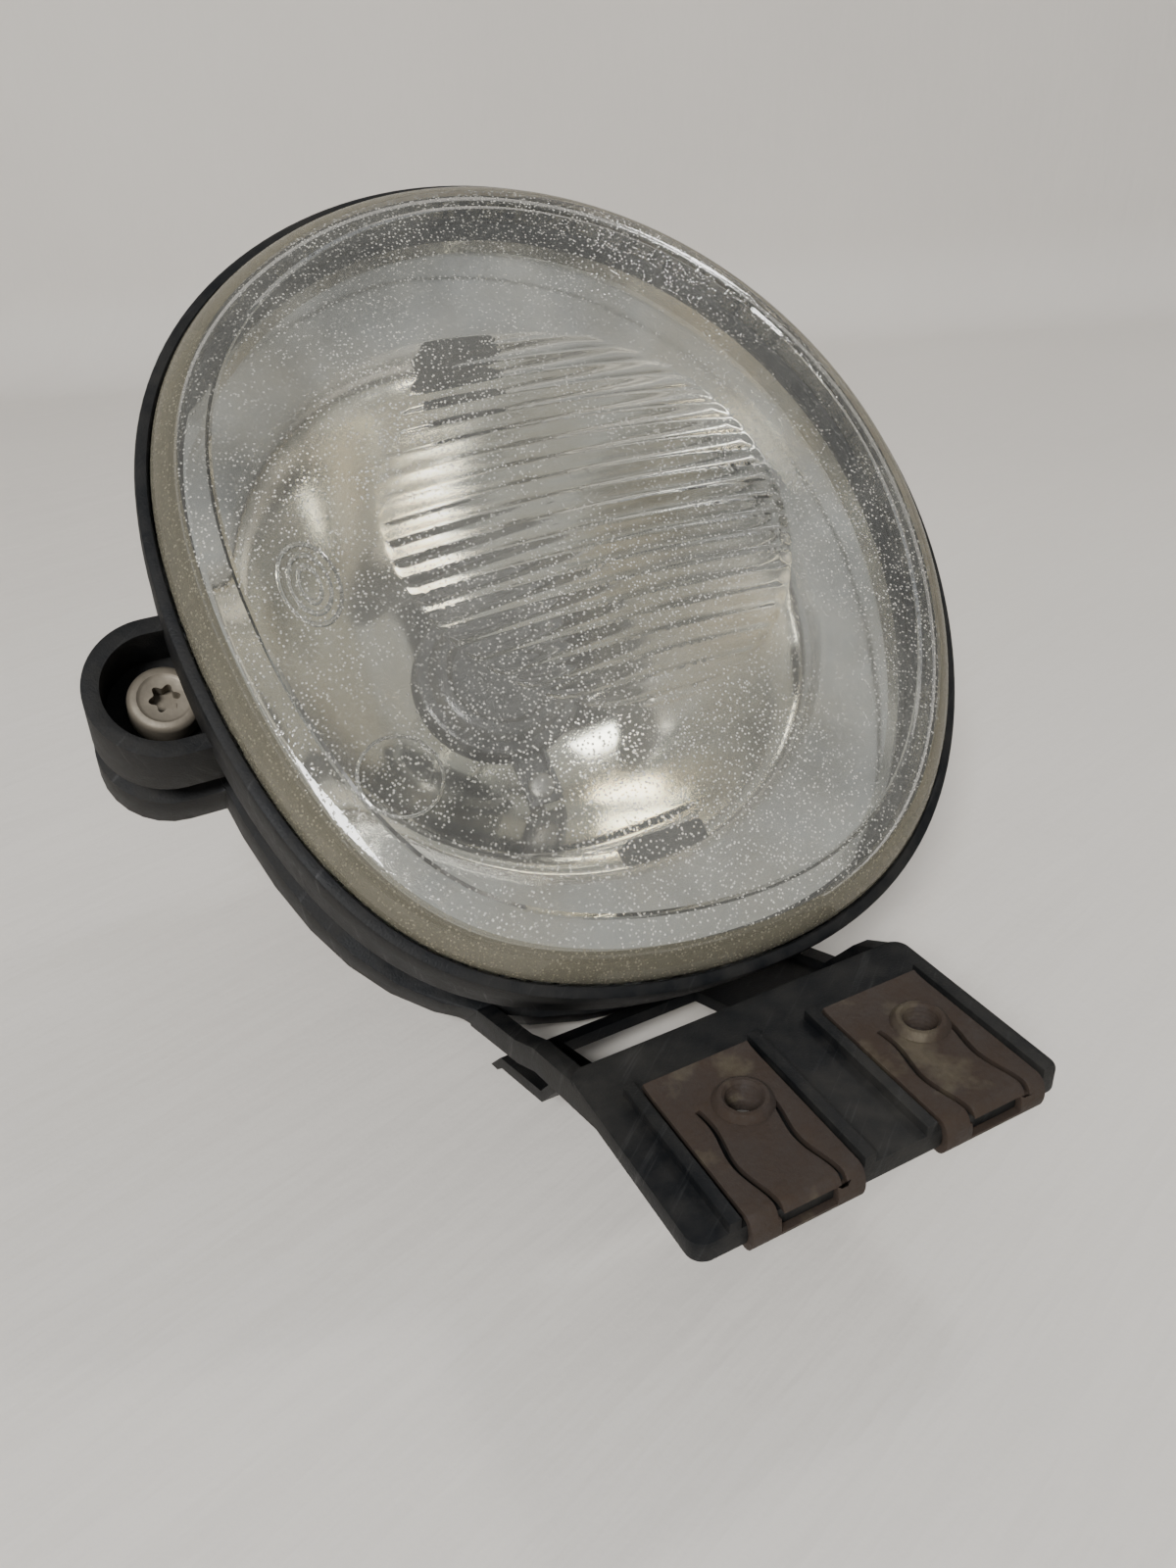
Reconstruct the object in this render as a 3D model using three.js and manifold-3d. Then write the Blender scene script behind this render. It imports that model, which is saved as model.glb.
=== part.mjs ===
// Adjustable front fog light: an egg-shaped glass lamp that tilts in a black bracket.
//
// The part's frame: the origin is on the top face of the bracket's mounting plate, +Z is that
// face's normal, +X runs along the plate's long edge, and the lamp looks towards -Y and upwards.
// The lamp has a frame of its own, tilted about X: its +Z is the lens axis, and its origin is
// on the rim plane, in the middle of the lens.  All sizes are in millimetres.

import * as THREE from "three";
import { mergeVertices } from "three/addons/utils/BufferGeometryUtils.js";
import Module from "manifold-3d";

const wasm = await Module();
wasm.setup();

// ---------------------------------------------------------------- driving dimensions

const FIT_GAP = 0.3; // between pieces that touch or seat on each other
const LAMP_X = 8.7;
const RIM_BEHIND_PLATE = 6.395; // from the plate's rear edge to the rim's lowest point
const RIM_BELOW_PLATE = 3.783; // from the plate's top face down to the rim's lowest point
const LAMP_TILT = THREE.MathUtils.degToRad(43); // lens axis away from the plate's normal

// Lens outline: an ellipse, squarer at its lower left corner and wider towards its top.
const HALF_WIDTH = 73;
const HALF_HEIGHT = 81.5;
const SQUARENESS = 0.034;
const SQUARE_TURN = THREE.MathUtils.degToRad(225);
const TAPER = 0.026;
const OUTLINE_STEPS = 48;

// Rim of the lamp, from the outside inwards.
const OUTER_LIP = 1.7;
const GLASS_WALL = 4;
const INNER_LIP = 1.2;
const REFLECTOR_WALL = 1.2;
const GLUE_DEPTH = 9.5; // from the rim plane down to the floor of the glue channel
const FLANGE_BACK = 12;
const SEAL_HEIGHT = 1.2;
const INNER_LIP_HEIGHT = 6.5;

// Glass.
const GLASS_SHOULDER = -1.4; // where the glass's straight side ends
const GLASS_BEAD = 8.6; // radius of the rounded rim
const GLASS_PEAK = 10.5;
const DOME_RADIUS = 761;

// Reflector bowl, turned about the optical axis.
const AXIS_X = -3;
const AXIS_Y = 1;
const BOWL_RADIUS = 54;
const BOWL_EDGE_Z = -14;
const FOCAL_LENGTH = 11.4;
const SKIRT_SLOPE = 0.3;
const REFLECTOR_SKIN = 2.4;
const REFLECTOR_RIM_Z = -5.5;
const COLLAR_RADIUS = 18;
const COLLAR_END_Z = -82;
const BULB_HOLE = 8.5;
const TERMINAL_DROP = 3.6; // from the collar's end to the connector's middle

// Housing.
const HOUSING_CLEARANCE = 2.2;
const HOUSING_SKIN = 5.4;
const BODY_INSET = 5;
const NECK_PLAY = 1.5; // from the reflector's collar out to the neck's bore
const NECK_WALL = 2.5;
const NECK_END_Z = -89;

// Bulb and its shield.
const BULB_FLANGE_RADIUS = 12;
const BULB_FLANGE_THICKNESS = 2;
const BULB_RADIUS = 5.75;
const BULB_TIP_Z = -57;
const BULB_WALL = 0.9;
const FERRULE_WALL = 0.85;
const FERRULE_LENGTH = 8;
const SHIELD_RADIUS = 18.5;
const SHIELD_FRONT_Z = -54;
const SHIELD_SHEET = 1.1;
const SHIELD_DEPTH = 6;
const STRAP_WIDTH = 8;
const STRAP_REACH = 30;
const RIVET_Y = 26;

// Rear cap.
const CAP_LIP = 1.5; // from the neck's outside to the cap's edge
const CAP_SEAL_THICKNESS = 1.2;
const CAP_THICKNESS = 3;
const CAP_PLUG = 3.8;

// Bracket ring behind the lamp's rim, and the pivots in it.
const RING_INSET = 2;
const RING_WIDTH = 6;
const RING_FRONT_Z = -30;
const RING_DEPTH = 9;
const PIVOT_X = 0;
const PIVOT_Z = -34.5;
const PIN_RADIUS = 3;
const PIN_HEAD_RADIUS = 4.6;
const BUSH_WALL = 1.7;
const BUSH_FLANGE = 1.5;
const BUSH_PLAY = 3.7; // from a bush's flange to the ring
const BOSS_DEPTH = 9;

// Aiming screw in the lug at the lamp's left.
const SCREW_OUTSET = 1; // from the widest part of the outline to the screw's axis
const SCREW_Y = -3;
const SCREW_RADIUS = 3;
const SCREW_HEAD_RADIUS = 6;
const SCREW_HEAD_HEIGHT = 5.5;
const SCREW_END_Z = -52;
const TORX_RADIUS = 2.6;
const POCKET_RADIUS = 9.6;
const POCKET_WALL = 2.8;
const POCKET_FRONT_Z = -9;
const POCKET_BACK_Z = -24;
const POCKET_FLOOR = 4.5;
const WASHER_THICKNESS = 1.2;
const FOOT_RADIUS = 12.5;
const FOOT_FRONT_Z = -31;
const FOOT_DEPTH = 10;
const BALL_RADIUS = 6;

// Mounting plate, its ridges, arms and spring nuts.
const PLATE_LENGTH = 61;
const PLATE_WIDTH = 35;
const PLATE_THICKNESS = 3.2;
const PLATE_CORNER = 2.5;
const NUT_CENTRES = [-14.2, 17];
const NUT_WIDTH = 17.5;
const NUT_SHEET = 1.1;
const NUT_REACH = 26; // from the plate's free edge to the nut's rear end
const NUT_HOLE_OFFSET = 1.8;
const NUT_HOLE_Y = -1;
const THREAD_RADIUS = 2.5; // core of an M6 thread
const NECK_OF_NUT = 4;
const RIDGE_WIDTH = 1.8;
const RIDGE_HEIGHT = 1.7;
const RIDGE_GAP = 0.8;
const ARM_THICKNESS = 3;
const WEB_THICKNESS = 2.5;
const SLOT_LEFT = -19;
const SLOT_RIGHT = 8;
const SLOT_LENGTH = 26;
const ARM_DEPTH = 5;
const RIM_CLEARANCE = 4; // from the rim down to the arms and the web
const SKID_START = 10; // behind the ring
const SKID_LENGTH = 28;

// ---------------------------------------------------------------- values worked out from them

const glassInset = OUTER_LIP + FIT_GAP;
const glassInnerInset = glassInset + GLASS_WALL;
const innerLipInset = glassInnerInset + FIT_GAP;
const cavityInset = innerLipInset + INNER_LIP;
const reflectorInset = cavityInset + FIT_GAP;
const sealFloorZ = -GLUE_DEPTH + FIT_GAP;
const glassBottomZ = sealFloorZ + SEAL_HEIGHT + FIT_GAP;
const neckBore = COLLAR_RADIUS + NECK_PLAY;
const neckRadius = neckBore + NECK_WALL;
const capRadius = neckRadius + CAP_LIP;
const bowlVertexZ = BOWL_EDGE_Z - BOWL_RADIUS ** 2 / (4 * FOCAL_LENGTH);
const flangeFrontZ = COLLAR_END_Z - FIT_GAP;
const flangeBackZ = flangeFrontZ - BULB_FLANGE_THICKNESS;
const capSealBackZ = NECK_END_Z - FIT_GAP - CAP_SEAL_THICKNESS;
const capFrontZ = capSealBackZ - FIT_GAP;
const capBackZ = capFrontZ - CAP_THICKNESS;
const boreOfFerrule = BULB_RADIUS + FIT_GAP;
const ballBore = SCREW_RADIUS + FIT_GAP;
const ballCentreZ = FOOT_FRONT_Z - FOOT_DEPTH / 2;
const pocketFloorZ = POCKET_BACK_Z + POCKET_FLOOR;
const screwSeatZ = pocketFloorZ + FIT_GAP;
const plateFrontY = -PLATE_WIDTH / 2;
const plateRearY = PLATE_WIDTH / 2;
const screwX = -HALF_WIDTH - SCREW_OUTSET;
const bossOuterY = HALF_HEIGHT - RING_INSET - RING_WIDTH - BUSH_PLAY - BUSH_FLANGE - FIT_GAP;
const bossInnerY = bossOuterY - 2 * BOSS_DEPTH;
const ringBackZ = RING_FRONT_Z - RING_DEPTH;
const farOut = 2 * HALF_HEIGHT;

const lampPlace = new THREE.Vector3(
  LAMP_X,
  plateRearY + RIM_BEHIND_PLATE + HALF_HEIGHT * Math.cos(LAMP_TILT),
  -RIM_BELOW_PLATE + HALF_HEIGHT * Math.sin(LAMP_TILT),
);

const lampMatrix = new THREE.Matrix4().compose(
  lampPlace,
  new THREE.Quaternion().setFromAxisAngle(new THREE.Vector3(1, 0, 0), LAMP_TILT),
  new THREE.Vector3(1, 1, 1),
);

// The lowest point of the rear cap is what the lamp stands on, and the arms' feet match it.
const capLowest = new THREE.Vector3(AXIS_X, AXIS_Y - capRadius, capBackZ).applyMatrix4(lampMatrix);
const footZ = capLowest.z;

// ---------------------------------------------------------------- solids

// A closed geometry as a manifold solid, facing outwards.
function solid(geometry) {
  const bare = geometry.index ? geometry.toNonIndexed() : geometry.clone();
  bare.deleteAttribute("normal");
  bare.deleteAttribute("uv");
  const merged = mergeVertices(bare, 1e-4);
  const triVerts = new Uint32Array(merged.index.array);
  const vertProperties = merged.attributes.position.array;
  const made = new wasm.Manifold(new wasm.Mesh({ numProp: 3, vertProperties, triVerts }));
  if (made.volume() >= 0) return made;
  for (let i = 0; i < triVerts.length; i += 3) {
    [triVerts[i], triVerts[i + 1]] = [triVerts[i + 1], triVerts[i]];
  }
  return new wasm.Manifold(new wasm.Mesh({ numProp: 3, vertProperties, triVerts }));
}

const join = (first, ...others) => others.reduce((sum, other) => sum.add(other), first);
const cut = (first, ...tools) => tools.reduce((rest, tool) => rest.subtract(tool), first);
const common = (first, ...others) => others.reduce((rest, other) => rest.intersect(other), first);

function geometryOf(made) {
  const mesh = made.getMesh();
  const geometry = new THREE.BufferGeometry();
  geometry.setAttribute("position", new THREE.BufferAttribute(mesh.vertProperties, 3));
  geometry.setIndex(new THREE.BufferAttribute(mesh.triVerts, 1));
  const flat = geometry.toNonIndexed();
  flat.computeVertexNormals();
  return flat;
}

const inPartFrame = (made) => solid(geometryOf(made).applyMatrix4(lampMatrix));

// ---------------------------------------------------------------- plain shapes

function outlinePoint(turn) {
  const near = (1 + Math.cos(turn - SQUARE_TURN)) / 2;
  const square = SQUARENESS * near ** 2;
  const x = Math.cos(turn) - square * Math.cos(3 * turn);
  const y = Math.sin(turn) + square * Math.sin(3 * turn);
  return new THREE.Vector2(HALF_WIDTH * x * (1 + TAPER * Math.sin(turn)), HALF_HEIGHT * y);
}

// The lens outline, moved inwards square to itself by a given inset.
function outline(inset) {
  const nudge = 1e-3;
  const points = [];
  for (let i = 0; i < OUTLINE_STEPS; i += 1) {
    const turn = (2 * Math.PI * i) / OUTLINE_STEPS;
    const along = outlinePoint(turn + nudge).sub(outlinePoint(turn - nudge)).normalize();
    points.push(outlinePoint(turn).add(new THREE.Vector2(-along.y, along.x).multiplyScalar(inset)));
  }
  return points;
}

function prism(inset, lowZ, highZ) {
  const shape = new THREE.Shape(outline(inset));
  const geometry = new THREE.ExtrudeGeometry(shape, { depth: highZ - lowZ, bevelEnabled: false });
  return solid(geometry.translate(0, 0, lowZ));
}

// A prism of the outline with its front edge rounded.
function roundedPrism(inset, lowZ, highZ, radius) {
  const shape = new THREE.Shape(outline(inset));
  const geometry = new THREE.ExtrudeGeometry(shape, {
    depth: highZ - lowZ,
    bevelEnabled: true,
    bevelThickness: radius,
    bevelSize: radius,
    bevelOffset: -radius,
    bevelSegments: 3,
  });
  geometry.translate(0, 0, lowZ - radius);
  return common(solid(geometry.translate(0, 0, radius)), prism(0, lowZ, highZ + radius + 1));
}

// A profile of [radius, z] points turned about a line along Z.
function turned(profile, x, y, steps = 40) {
  const points = profile.map(([radius, z]) => new THREE.Vector2(radius, z));
  const geometry = new THREE.LatheGeometry(points, steps);
  return solid(geometry.rotateX(Math.PI / 2).translate(x, y, 0));
}

function cylinder(radius, lowZ, highZ, x, y, steps = 32) {
  return turned([[0, lowZ], [radius, lowZ], [radius, highZ], [0, highZ]], x, y, steps);
}

function tube(inner, outer, lowZ, highZ, x, y, steps = 32) {
  const profile = [[inner, lowZ], [outer, lowZ], [outer, highZ], [inner, highZ], [inner, lowZ]];
  return turned(profile, x, y, steps);
}

// A cylinder along Y between two heights of y.
function crossCylinder(radius, lowY, highY, x, z, steps = 24) {
  const geometry = new THREE.CylinderGeometry(radius, radius, highY - lowY, steps);
  return solid(geometry.translate(x, (lowY + highY) / 2, z));
}

function box(low, high) {
  const size = high.map((value, i) => value - low[i]);
  const middle = high.map((value, i) => (value + low[i]) / 2);
  return solid(new THREE.BoxGeometry(...size).translate(...middle));
}

// An outline in the YZ plane drawn out along X.
function sidePanel(points, lowX, highX) {
  const shape = new THREE.Shape(points.map(([y, z]) => new THREE.Vector2(y, z)));
  const geometry = new THREE.ExtrudeGeometry(shape, { depth: highX - lowX, bevelEnabled: false });
  const turn = new THREE.Matrix4().makeBasis(
    new THREE.Vector3(0, 1, 0),
    new THREE.Vector3(0, 0, 1),
    new THREE.Vector3(1, 0, 0),
  );
  return solid(geometry.applyMatrix4(turn).translate(lowX, 0, 0));
}

// A round wire or lead along a smooth line through the points.
function wire(points, radius, steps, sides = 8) {
  const section = new THREE.Shape();
  section.absarc(0, 0, radius, 0, 2 * Math.PI);
  const path = new THREE.CatmullRomCurve3(points.map((p) => new THREE.Vector3(...p)));
  const options = { steps, bevelEnabled: false, extrudePath: path, curveSegments: sides / 2 };
  return solid(new THREE.ExtrudeGeometry(section, options));
}

// ---------------------------------------------------------------- lamp

const bowlZ = (radius) => bowlVertexZ + radius ** 2 / (4 * FOCAL_LENGTH);

// How far the housing's inner and outer faces lie behind the reflector's face.
const shellShift = -REFLECTOR_SKIN - HOUSING_CLEARANCE;
const outerShift = shellShift - HOUSING_SKIN;

// All that lies in front of the bowl's surface, and of the skirt round it, moved along the axis.
function aboveBowl(shift) {
  const profile = [];
  for (let i = 0; i <= 7; i += 1) {
    const radius = (BOWL_RADIUS * i) / 7;
    profile.push([radius, bowlZ(radius) + shift]);
  }
  const reach = HALF_HEIGHT * 1.3;
  profile.push([reach, BOWL_EDGE_Z + (reach - BOWL_RADIUS) * SKIRT_SLOPE + shift]);
  profile.push([reach, 40], [0, 40]);
  return turned(profile, AXIS_X, AXIS_Y, 40);
}

// All that lies behind a gently domed surface with its peak at a given height.
function belowDome(peak) {
  const profile = [[0, -20], [HALF_HEIGHT * 1.1, -20]];
  for (let i = 3; i >= 0; i -= 1) {
    const radius = (HALF_HEIGHT * 1.1 * i) / 3;
    profile.push([radius, peak - radius ** 2 / (2 * DOME_RADIUS)]);
  }
  return turned(profile, 0, 0, 32);
}

function lensGlass() {
  const beadInset = glassInset + GLASS_BEAD;
  const rim = roundedPrism(glassInset, glassBottomZ, GLASS_SHOULDER, GLASS_BEAD);
  const face = common(prism(beadInset, 0, GLASS_PEAK + 1), belowDome(GLASS_PEAK));
  const hollow = roundedPrism(glassInnerInset, glassBottomZ - 1, GLASS_SHOULDER - 1, GLASS_WALL);
  const faceInside = common(
    prism(glassInnerInset + GLASS_WALL + 1, -1, GLASS_PEAK),
    belowDome(GLASS_PEAK - GLASS_WALL),
  );
  return cut(join(rim, face), hollow, faceInside);
}

function lensSeal() {
  const top = sealFloorZ + SEAL_HEIGHT;
  return cut(prism(glassInset, sealFloorZ, top), prism(glassInnerInset, sealFloorZ - 1, top + 1));
}

function rivetBoss() {
  return cylinder(4.2, -70, strapBackZ - FIT_GAP, AXIS_X, AXIS_Y - RIVET_Y, 20);
}

const strapFrontZ = SHIELD_FRONT_Z - 2;
const strapBackZ = strapFrontZ - SHIELD_SHEET;
const rivetShank = 1.5;
const rivetEndZ = strapBackZ - 5;

function reflector() {
  const outer = common(
    prism(reflectorInset, bowlVertexZ - 20, REFLECTOR_RIM_Z),
    aboveBowl(-REFLECTOR_SKIN),
  );
  const collar = cylinder(COLLAR_RADIUS, COLLAR_END_Z, bowlZ(COLLAR_RADIUS) - 0.5, AXIS_X, AXIS_Y);
  const inner = common(
    prism(reflectorInset + REFLECTOR_WALL, bowlVertexZ - 20, 10),
    aboveBowl(0),
  );
  const bulbHole = cylinder(BULB_HOLE, COLLAR_END_Z - 1, 0, AXIS_X, AXIS_Y);
  const bowl = cut(join(outer, collar), inner, bulbHole);
  const bossFoot = common(rivetBoss(), aboveBowl(-REFLECTOR_SKIN / 2));
  const hole = cylinder(
    rivetShank + FIT_GAP, rivetEndZ - FIT_GAP, 0, AXIS_X, AXIS_Y - RIVET_Y, 16,
  );
  return cut(join(bowl, bossFoot), hole, clipScrewHole());
}

const clipScrewX = AXIS_X + 14.4;

function clipScrewHole() {
  return cylinder(1.3 + FIT_GAP, COLLAR_END_Z - 1, COLLAR_END_Z + 5.5, clipScrewX, AXIS_Y, 12);
}

const rimBlank = () => prism(0, -FLANGE_BACK, 0);
const bodyBlank = () => prism(BODY_INSET, bowlVertexZ - 30, -FLANGE_BACK + 1);

// The lug that holds the aiming screw's head: a deep pocket open towards the lamp's front and
// closed at its inner side by the rim.
function screwPocket() {
  const outer = POCKET_RADIUS + POCKET_WALL;
  const wall = cylinder(outer, POCKET_BACK_Z, POCKET_FRONT_Z, screwX, SCREW_Y, 28);
  const bridge = box(
    [screwX, SCREW_Y - outer, POCKET_BACK_Z],
    [screwX + 14, SCREW_Y + outer, POCKET_FRONT_Z - 2],
  );
  return join(wall, bridge);
}

function pocketHollow() {
  const round = cylinder(POCKET_RADIUS, pocketFloorZ, 5, screwX, SCREW_Y, 28);
  const shank = cylinder(SCREW_RADIUS + 0.6, POCKET_BACK_Z - 1, 0, screwX, SCREW_Y, 20);
  const way = box(
    [screwX, SCREW_Y - POCKET_RADIUS, pocketFloorZ],
    [screwX + POCKET_RADIUS + POCKET_WALL, SCREW_Y + POCKET_RADIUS, 5],
  );
  return cut(join(round, shank, way), rimBlank(), bodyBlank());
}

function pivotBoss(side) {
  const low = side > 0 ? bossInnerY : -bossOuterY;
  const high = side > 0 ? bossOuterY : -bossInnerY;
  return box([PIVOT_X - 8, low, PIVOT_Z - 8], [PIVOT_X + 8, high, BOWL_EDGE_Z]);
}

const bushOuter = PIN_RADIUS + FIT_GAP + BUSH_WALL;

function bushHole(side) {
  const inner = bossOuterY - BOSS_DEPTH;
  const low = side > 0 ? inner : -bossOuterY - 1;
  const high = side > 0 ? bossOuterY + 1 : -inner;
  return crossCylinder(bushOuter + FIT_GAP, low, high, PIVOT_X, PIVOT_Z);
}

const socketPad = {
  lowX: AXIS_X + neckRadius - 4,
  highX: AXIS_X + neckRadius + 4,
  halfY: 9,
  lowZ: NECK_END_Z,
  highZ: -72,
};
const socketZ = COLLAR_END_Z - TERMINAL_DROP;
const terminalOffset = 3.2;

function lampHousing() {
  const rim = rimBlank();
  const body = common(bodyBlank(), aboveBowl(outerShift));
  const neck = cylinder(neckRadius, NECK_END_Z, -62, AXIS_X, AXIS_Y, 32);
  const pad = box(
    [socketPad.lowX, AXIS_Y - socketPad.halfY, socketPad.lowZ],
    [socketPad.highX, AXIS_Y + socketPad.halfY, socketPad.highZ],
  );
  const spigot = cylinder(SPIGOT_RADIUS, spigotEndZ, -50, breatherX, breatherY, 16);
  const cavity = common(prism(cavityInset, bowlVertexZ - 30, 2), aboveBowl(shellShift));
  const bossUpper = cut(pivotBoss(1), aboveBowl(shellShift));
  const bossLower = cut(pivotBoss(-1), aboveBowl(shellShift));
  const full = join(rim, body, neck, pad, spigot, screwPocket(), bossUpper, bossLower);
  return cut(
    full,
    cavity,
    cylinder(neckBore, NECK_END_Z - 1, -70, AXIS_X, AXIS_Y, 32),
    cut(prism(OUTER_LIP, -GLUE_DEPTH, 2), prism(innerLipInset, -GLUE_DEPTH - 1, 3)),
    prism(innerLipInset, -GLUE_DEPTH + INNER_LIP_HEIGHT, 2),
    pocketHollow(),
    bushHole(1),
    bushHole(-1),
    cylinder(1.4, spigotEndZ - 1, -40, breatherX, breatherY, 12),
    terminalSlot(1),
    terminalSlot(-1),
  );
}

const terminalHalf = { y: 1.4, z: 0.6 };

// The way for a terminal through the neck's wall and the connector's floor.
function terminalSlot(side) {
  const y = AXIS_Y + side * terminalOffset;
  const halfY = terminalHalf.y + FIT_GAP;
  const halfZ = terminalHalf.z + FIT_GAP;
  return box(
    [AXIS_X + neckBore - 4.5, y - halfY, socketZ - halfZ],
    [socketPad.highX + 6, y + halfY, socketZ + halfZ],
  );
}

const breatherX = AXIS_X + 26;
const breatherY = AXIS_Y + 28;
const BREATHER_CAP = { radius: 5, height: 9, wall: 2.5 };
const SPIGOT_RADIUS = 3;
const breatherNear = Math.hypot(breatherX - AXIS_X, breatherY - AXIS_Y) - BREATHER_CAP.radius;
const breatherFrontZ = bowlZ(breatherNear) + outerShift - 1;
const spigotEndZ = breatherFrontZ - BREATHER_CAP.height + BREATHER_CAP.wall;

function breatherCap() {
  const back = breatherFrontZ - BREATHER_CAP.height;
  return cut(
    cylinder(BREATHER_CAP.radius, back, breatherFrontZ, breatherX, breatherY, 24),
    cylinder(SPIGOT_RADIUS + FIT_GAP, spigotEndZ - FIT_GAP, 0, breatherX, breatherY, 20),
  );
}

function connectorSocket() {
  const startX = socketPad.highX + FIT_GAP;
  const flange = box([startX, AXIS_Y - 9, socketZ - 8], [startX + 2, AXIS_Y + 9, socketZ + 8]);
  const shroud = box([startX, AXIS_Y - 7.5, socketZ - 5.5], [startX + 18, AXIS_Y + 7.5, socketZ + 5.5]);
  const hollow = box([startX + 4, AXIS_Y - 6, socketZ - 4], [startX + 20, AXIS_Y + 6, socketZ + 4]);
  const latch = box([startX + 8, AXIS_Y - 2.5, socketZ + 5], [startX + 14, AXIS_Y + 2.5, socketZ + 7]);
  return cut(join(flange, shroud, latch), hollow, terminalSlot(1), terminalSlot(-1));
}

const terminalInnerX = AXIS_X + neckBore - 6;

function terminal(side) {
  const y = AXIS_Y + side * terminalOffset;
  return box(
    [terminalInnerX, y - terminalHalf.y, socketZ - terminalHalf.z],
    [socketPad.highX + 14, y + terminalHalf.y, socketZ + terminalHalf.z],
  );
}

// ---------------------------------------------------------------- bulb and shield

function bulbBase() {
  const ferruleTop = flangeFrontZ + FERRULE_LENGTH;
  const outer = boreOfFerrule + FERRULE_WALL;
  return turned([
    [0, flangeBackZ], [BULB_FLANGE_RADIUS, flangeBackZ], [BULB_FLANGE_RADIUS, flangeFrontZ],
    [outer, flangeFrontZ], [outer, ferruleTop], [boreOfFerrule, ferruleTop],
    [boreOfFerrule, flangeFrontZ], [0, flangeFrontZ],
  ], AXIS_X, AXIS_Y, 28);
}

function bulbGlass() {
  const start = flangeFrontZ + FIT_GAP;
  const shoulder = BULB_TIP_Z - BULB_RADIUS;
  const profile = [[BULB_RADIUS - BULB_WALL, start], [BULB_RADIUS, start]];
  for (let i = 0; i <= 5; i += 1) {
    const turn = (Math.PI / 2) * (i / 5);
    profile.push([BULB_RADIUS * Math.cos(turn), shoulder + BULB_RADIUS * Math.sin(turn)]);
  }
  for (let i = 5; i >= 0; i -= 1) {
    const turn = (Math.PI / 2) * (i / 5);
    const radius = BULB_RADIUS - BULB_WALL;
    profile.push([radius * Math.cos(turn), shoulder + radius * Math.sin(turn)]);
  }
  profile.push([BULB_RADIUS - BULB_WALL, start]);
  return turned(profile, AXIS_X, AXIS_Y, 20);
}

function bulbFilament() {
  const foot = flangeFrontZ + FIT_GAP;
  const filamentZ = BULB_TIP_Z - 8;
  const bead = cylinder(4, foot, foot + 5, AXIS_X, AXIS_Y, 16);
  const postLeft = cylinder(0.45, foot + 4, filamentZ + 0.5, AXIS_X - 2.8, AXIS_Y, 8);
  const postRight = cylinder(0.45, foot + 4, filamentZ + 0.5, AXIS_X + 2.8, AXIS_Y, 8);
  const coil = box(
    [AXIS_X - 2.8, AXIS_Y - 0.5, filamentZ - 0.5],
    [AXIS_X + 2.8, AXIS_Y + 0.5, filamentZ + 0.5],
  );
  return join(bead, postLeft, postRight, coil);
}

const tabLowZ = flangeBackZ - 5.5;

function bulbContact() {
  return box(
    [AXIS_X - 0.5, AXIS_Y - 3, tabLowZ],
    [AXIS_X + 0.5, AXIS_Y + 3, flangeBackZ - FIT_GAP],
  );
}

function bulbClip() {
  const z = flangeBackZ - FIT_GAP - 0.7;
  const reach = clipScrewX - AXIS_X - 4.5;
  return wire([
    [AXIS_X + reach, AXIS_Y + 4, z], [AXIS_X + 3, AXIS_Y + 6, z], [AXIS_X - 8, AXIS_Y + 6, z],
    [AXIS_X - 13, AXIS_Y + 3, z], [AXIS_X - 13, AXIS_Y - 3, z], [AXIS_X - 8, AXIS_Y - 6, z],
    [AXIS_X + 3, AXIS_Y - 6, z], [AXIS_X + reach, AXIS_Y - 4, z],
  ], 0.6, 22, 6);
}

function clipScrew() {
  const head = cylinder(2.3, COLLAR_END_Z - 2.1, COLLAR_END_Z - FIT_GAP, clipScrewX, AXIS_Y, 16);
  const shank = cylinder(1.3, COLLAR_END_Z - 1, COLLAR_END_Z + 5, clipScrewX, AXIS_Y, 12);
  return join(head, shank);
}

function bulbShield() {
  const inner = SHIELD_RADIUS - SHIELD_SHEET;
  const back = SHIELD_FRONT_Z - SHIELD_DEPTH;
  const crown = SHIELD_FRONT_Z + 1.6;
  const cup = turned([
    [SHIELD_RADIUS, back], [SHIELD_RADIUS, SHIELD_FRONT_Z - 1.2], [inner, SHIELD_FRONT_Z],
    [9.5, SHIELD_FRONT_Z], [8.5, crown], [0, crown], [0, crown - SHIELD_SHEET],
    [7.7, crown - SHIELD_SHEET], [8.7, SHIELD_FRONT_Z - SHIELD_SHEET],
    [inner - 0.6, SHIELD_FRONT_Z - SHIELD_SHEET], [inner, SHIELD_FRONT_Z - 2], [inner, back],
    [SHIELD_RADIUS, back],
  ], AXIS_X, AXIS_Y, 28);
  const strap = box(
    [AXIS_X - STRAP_WIDTH / 2, AXIS_Y - STRAP_REACH, strapBackZ],
    [AXIS_X + STRAP_WIDTH / 2, AXIS_Y - SHIELD_RADIUS + SHIELD_SHEET + 0.1, strapFrontZ],
  );
  const hole = cylinder(rivetShank + FIT_GAP, -70, -40, AXIS_X, AXIS_Y - RIVET_Y, 16);
  return cut(join(cup, strap), hole);
}

function shieldRivet() {
  const y = AXIS_Y - RIVET_Y;
  const head = cylinder(3, strapFrontZ + FIT_GAP, strapFrontZ + FIT_GAP + 1.4, AXIS_X, y, 18);
  const shank = cylinder(rivetShank, rivetEndZ, strapFrontZ + FIT_GAP + 0.5, AXIS_X, y, 12);
  return join(head, shank);
}

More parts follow.
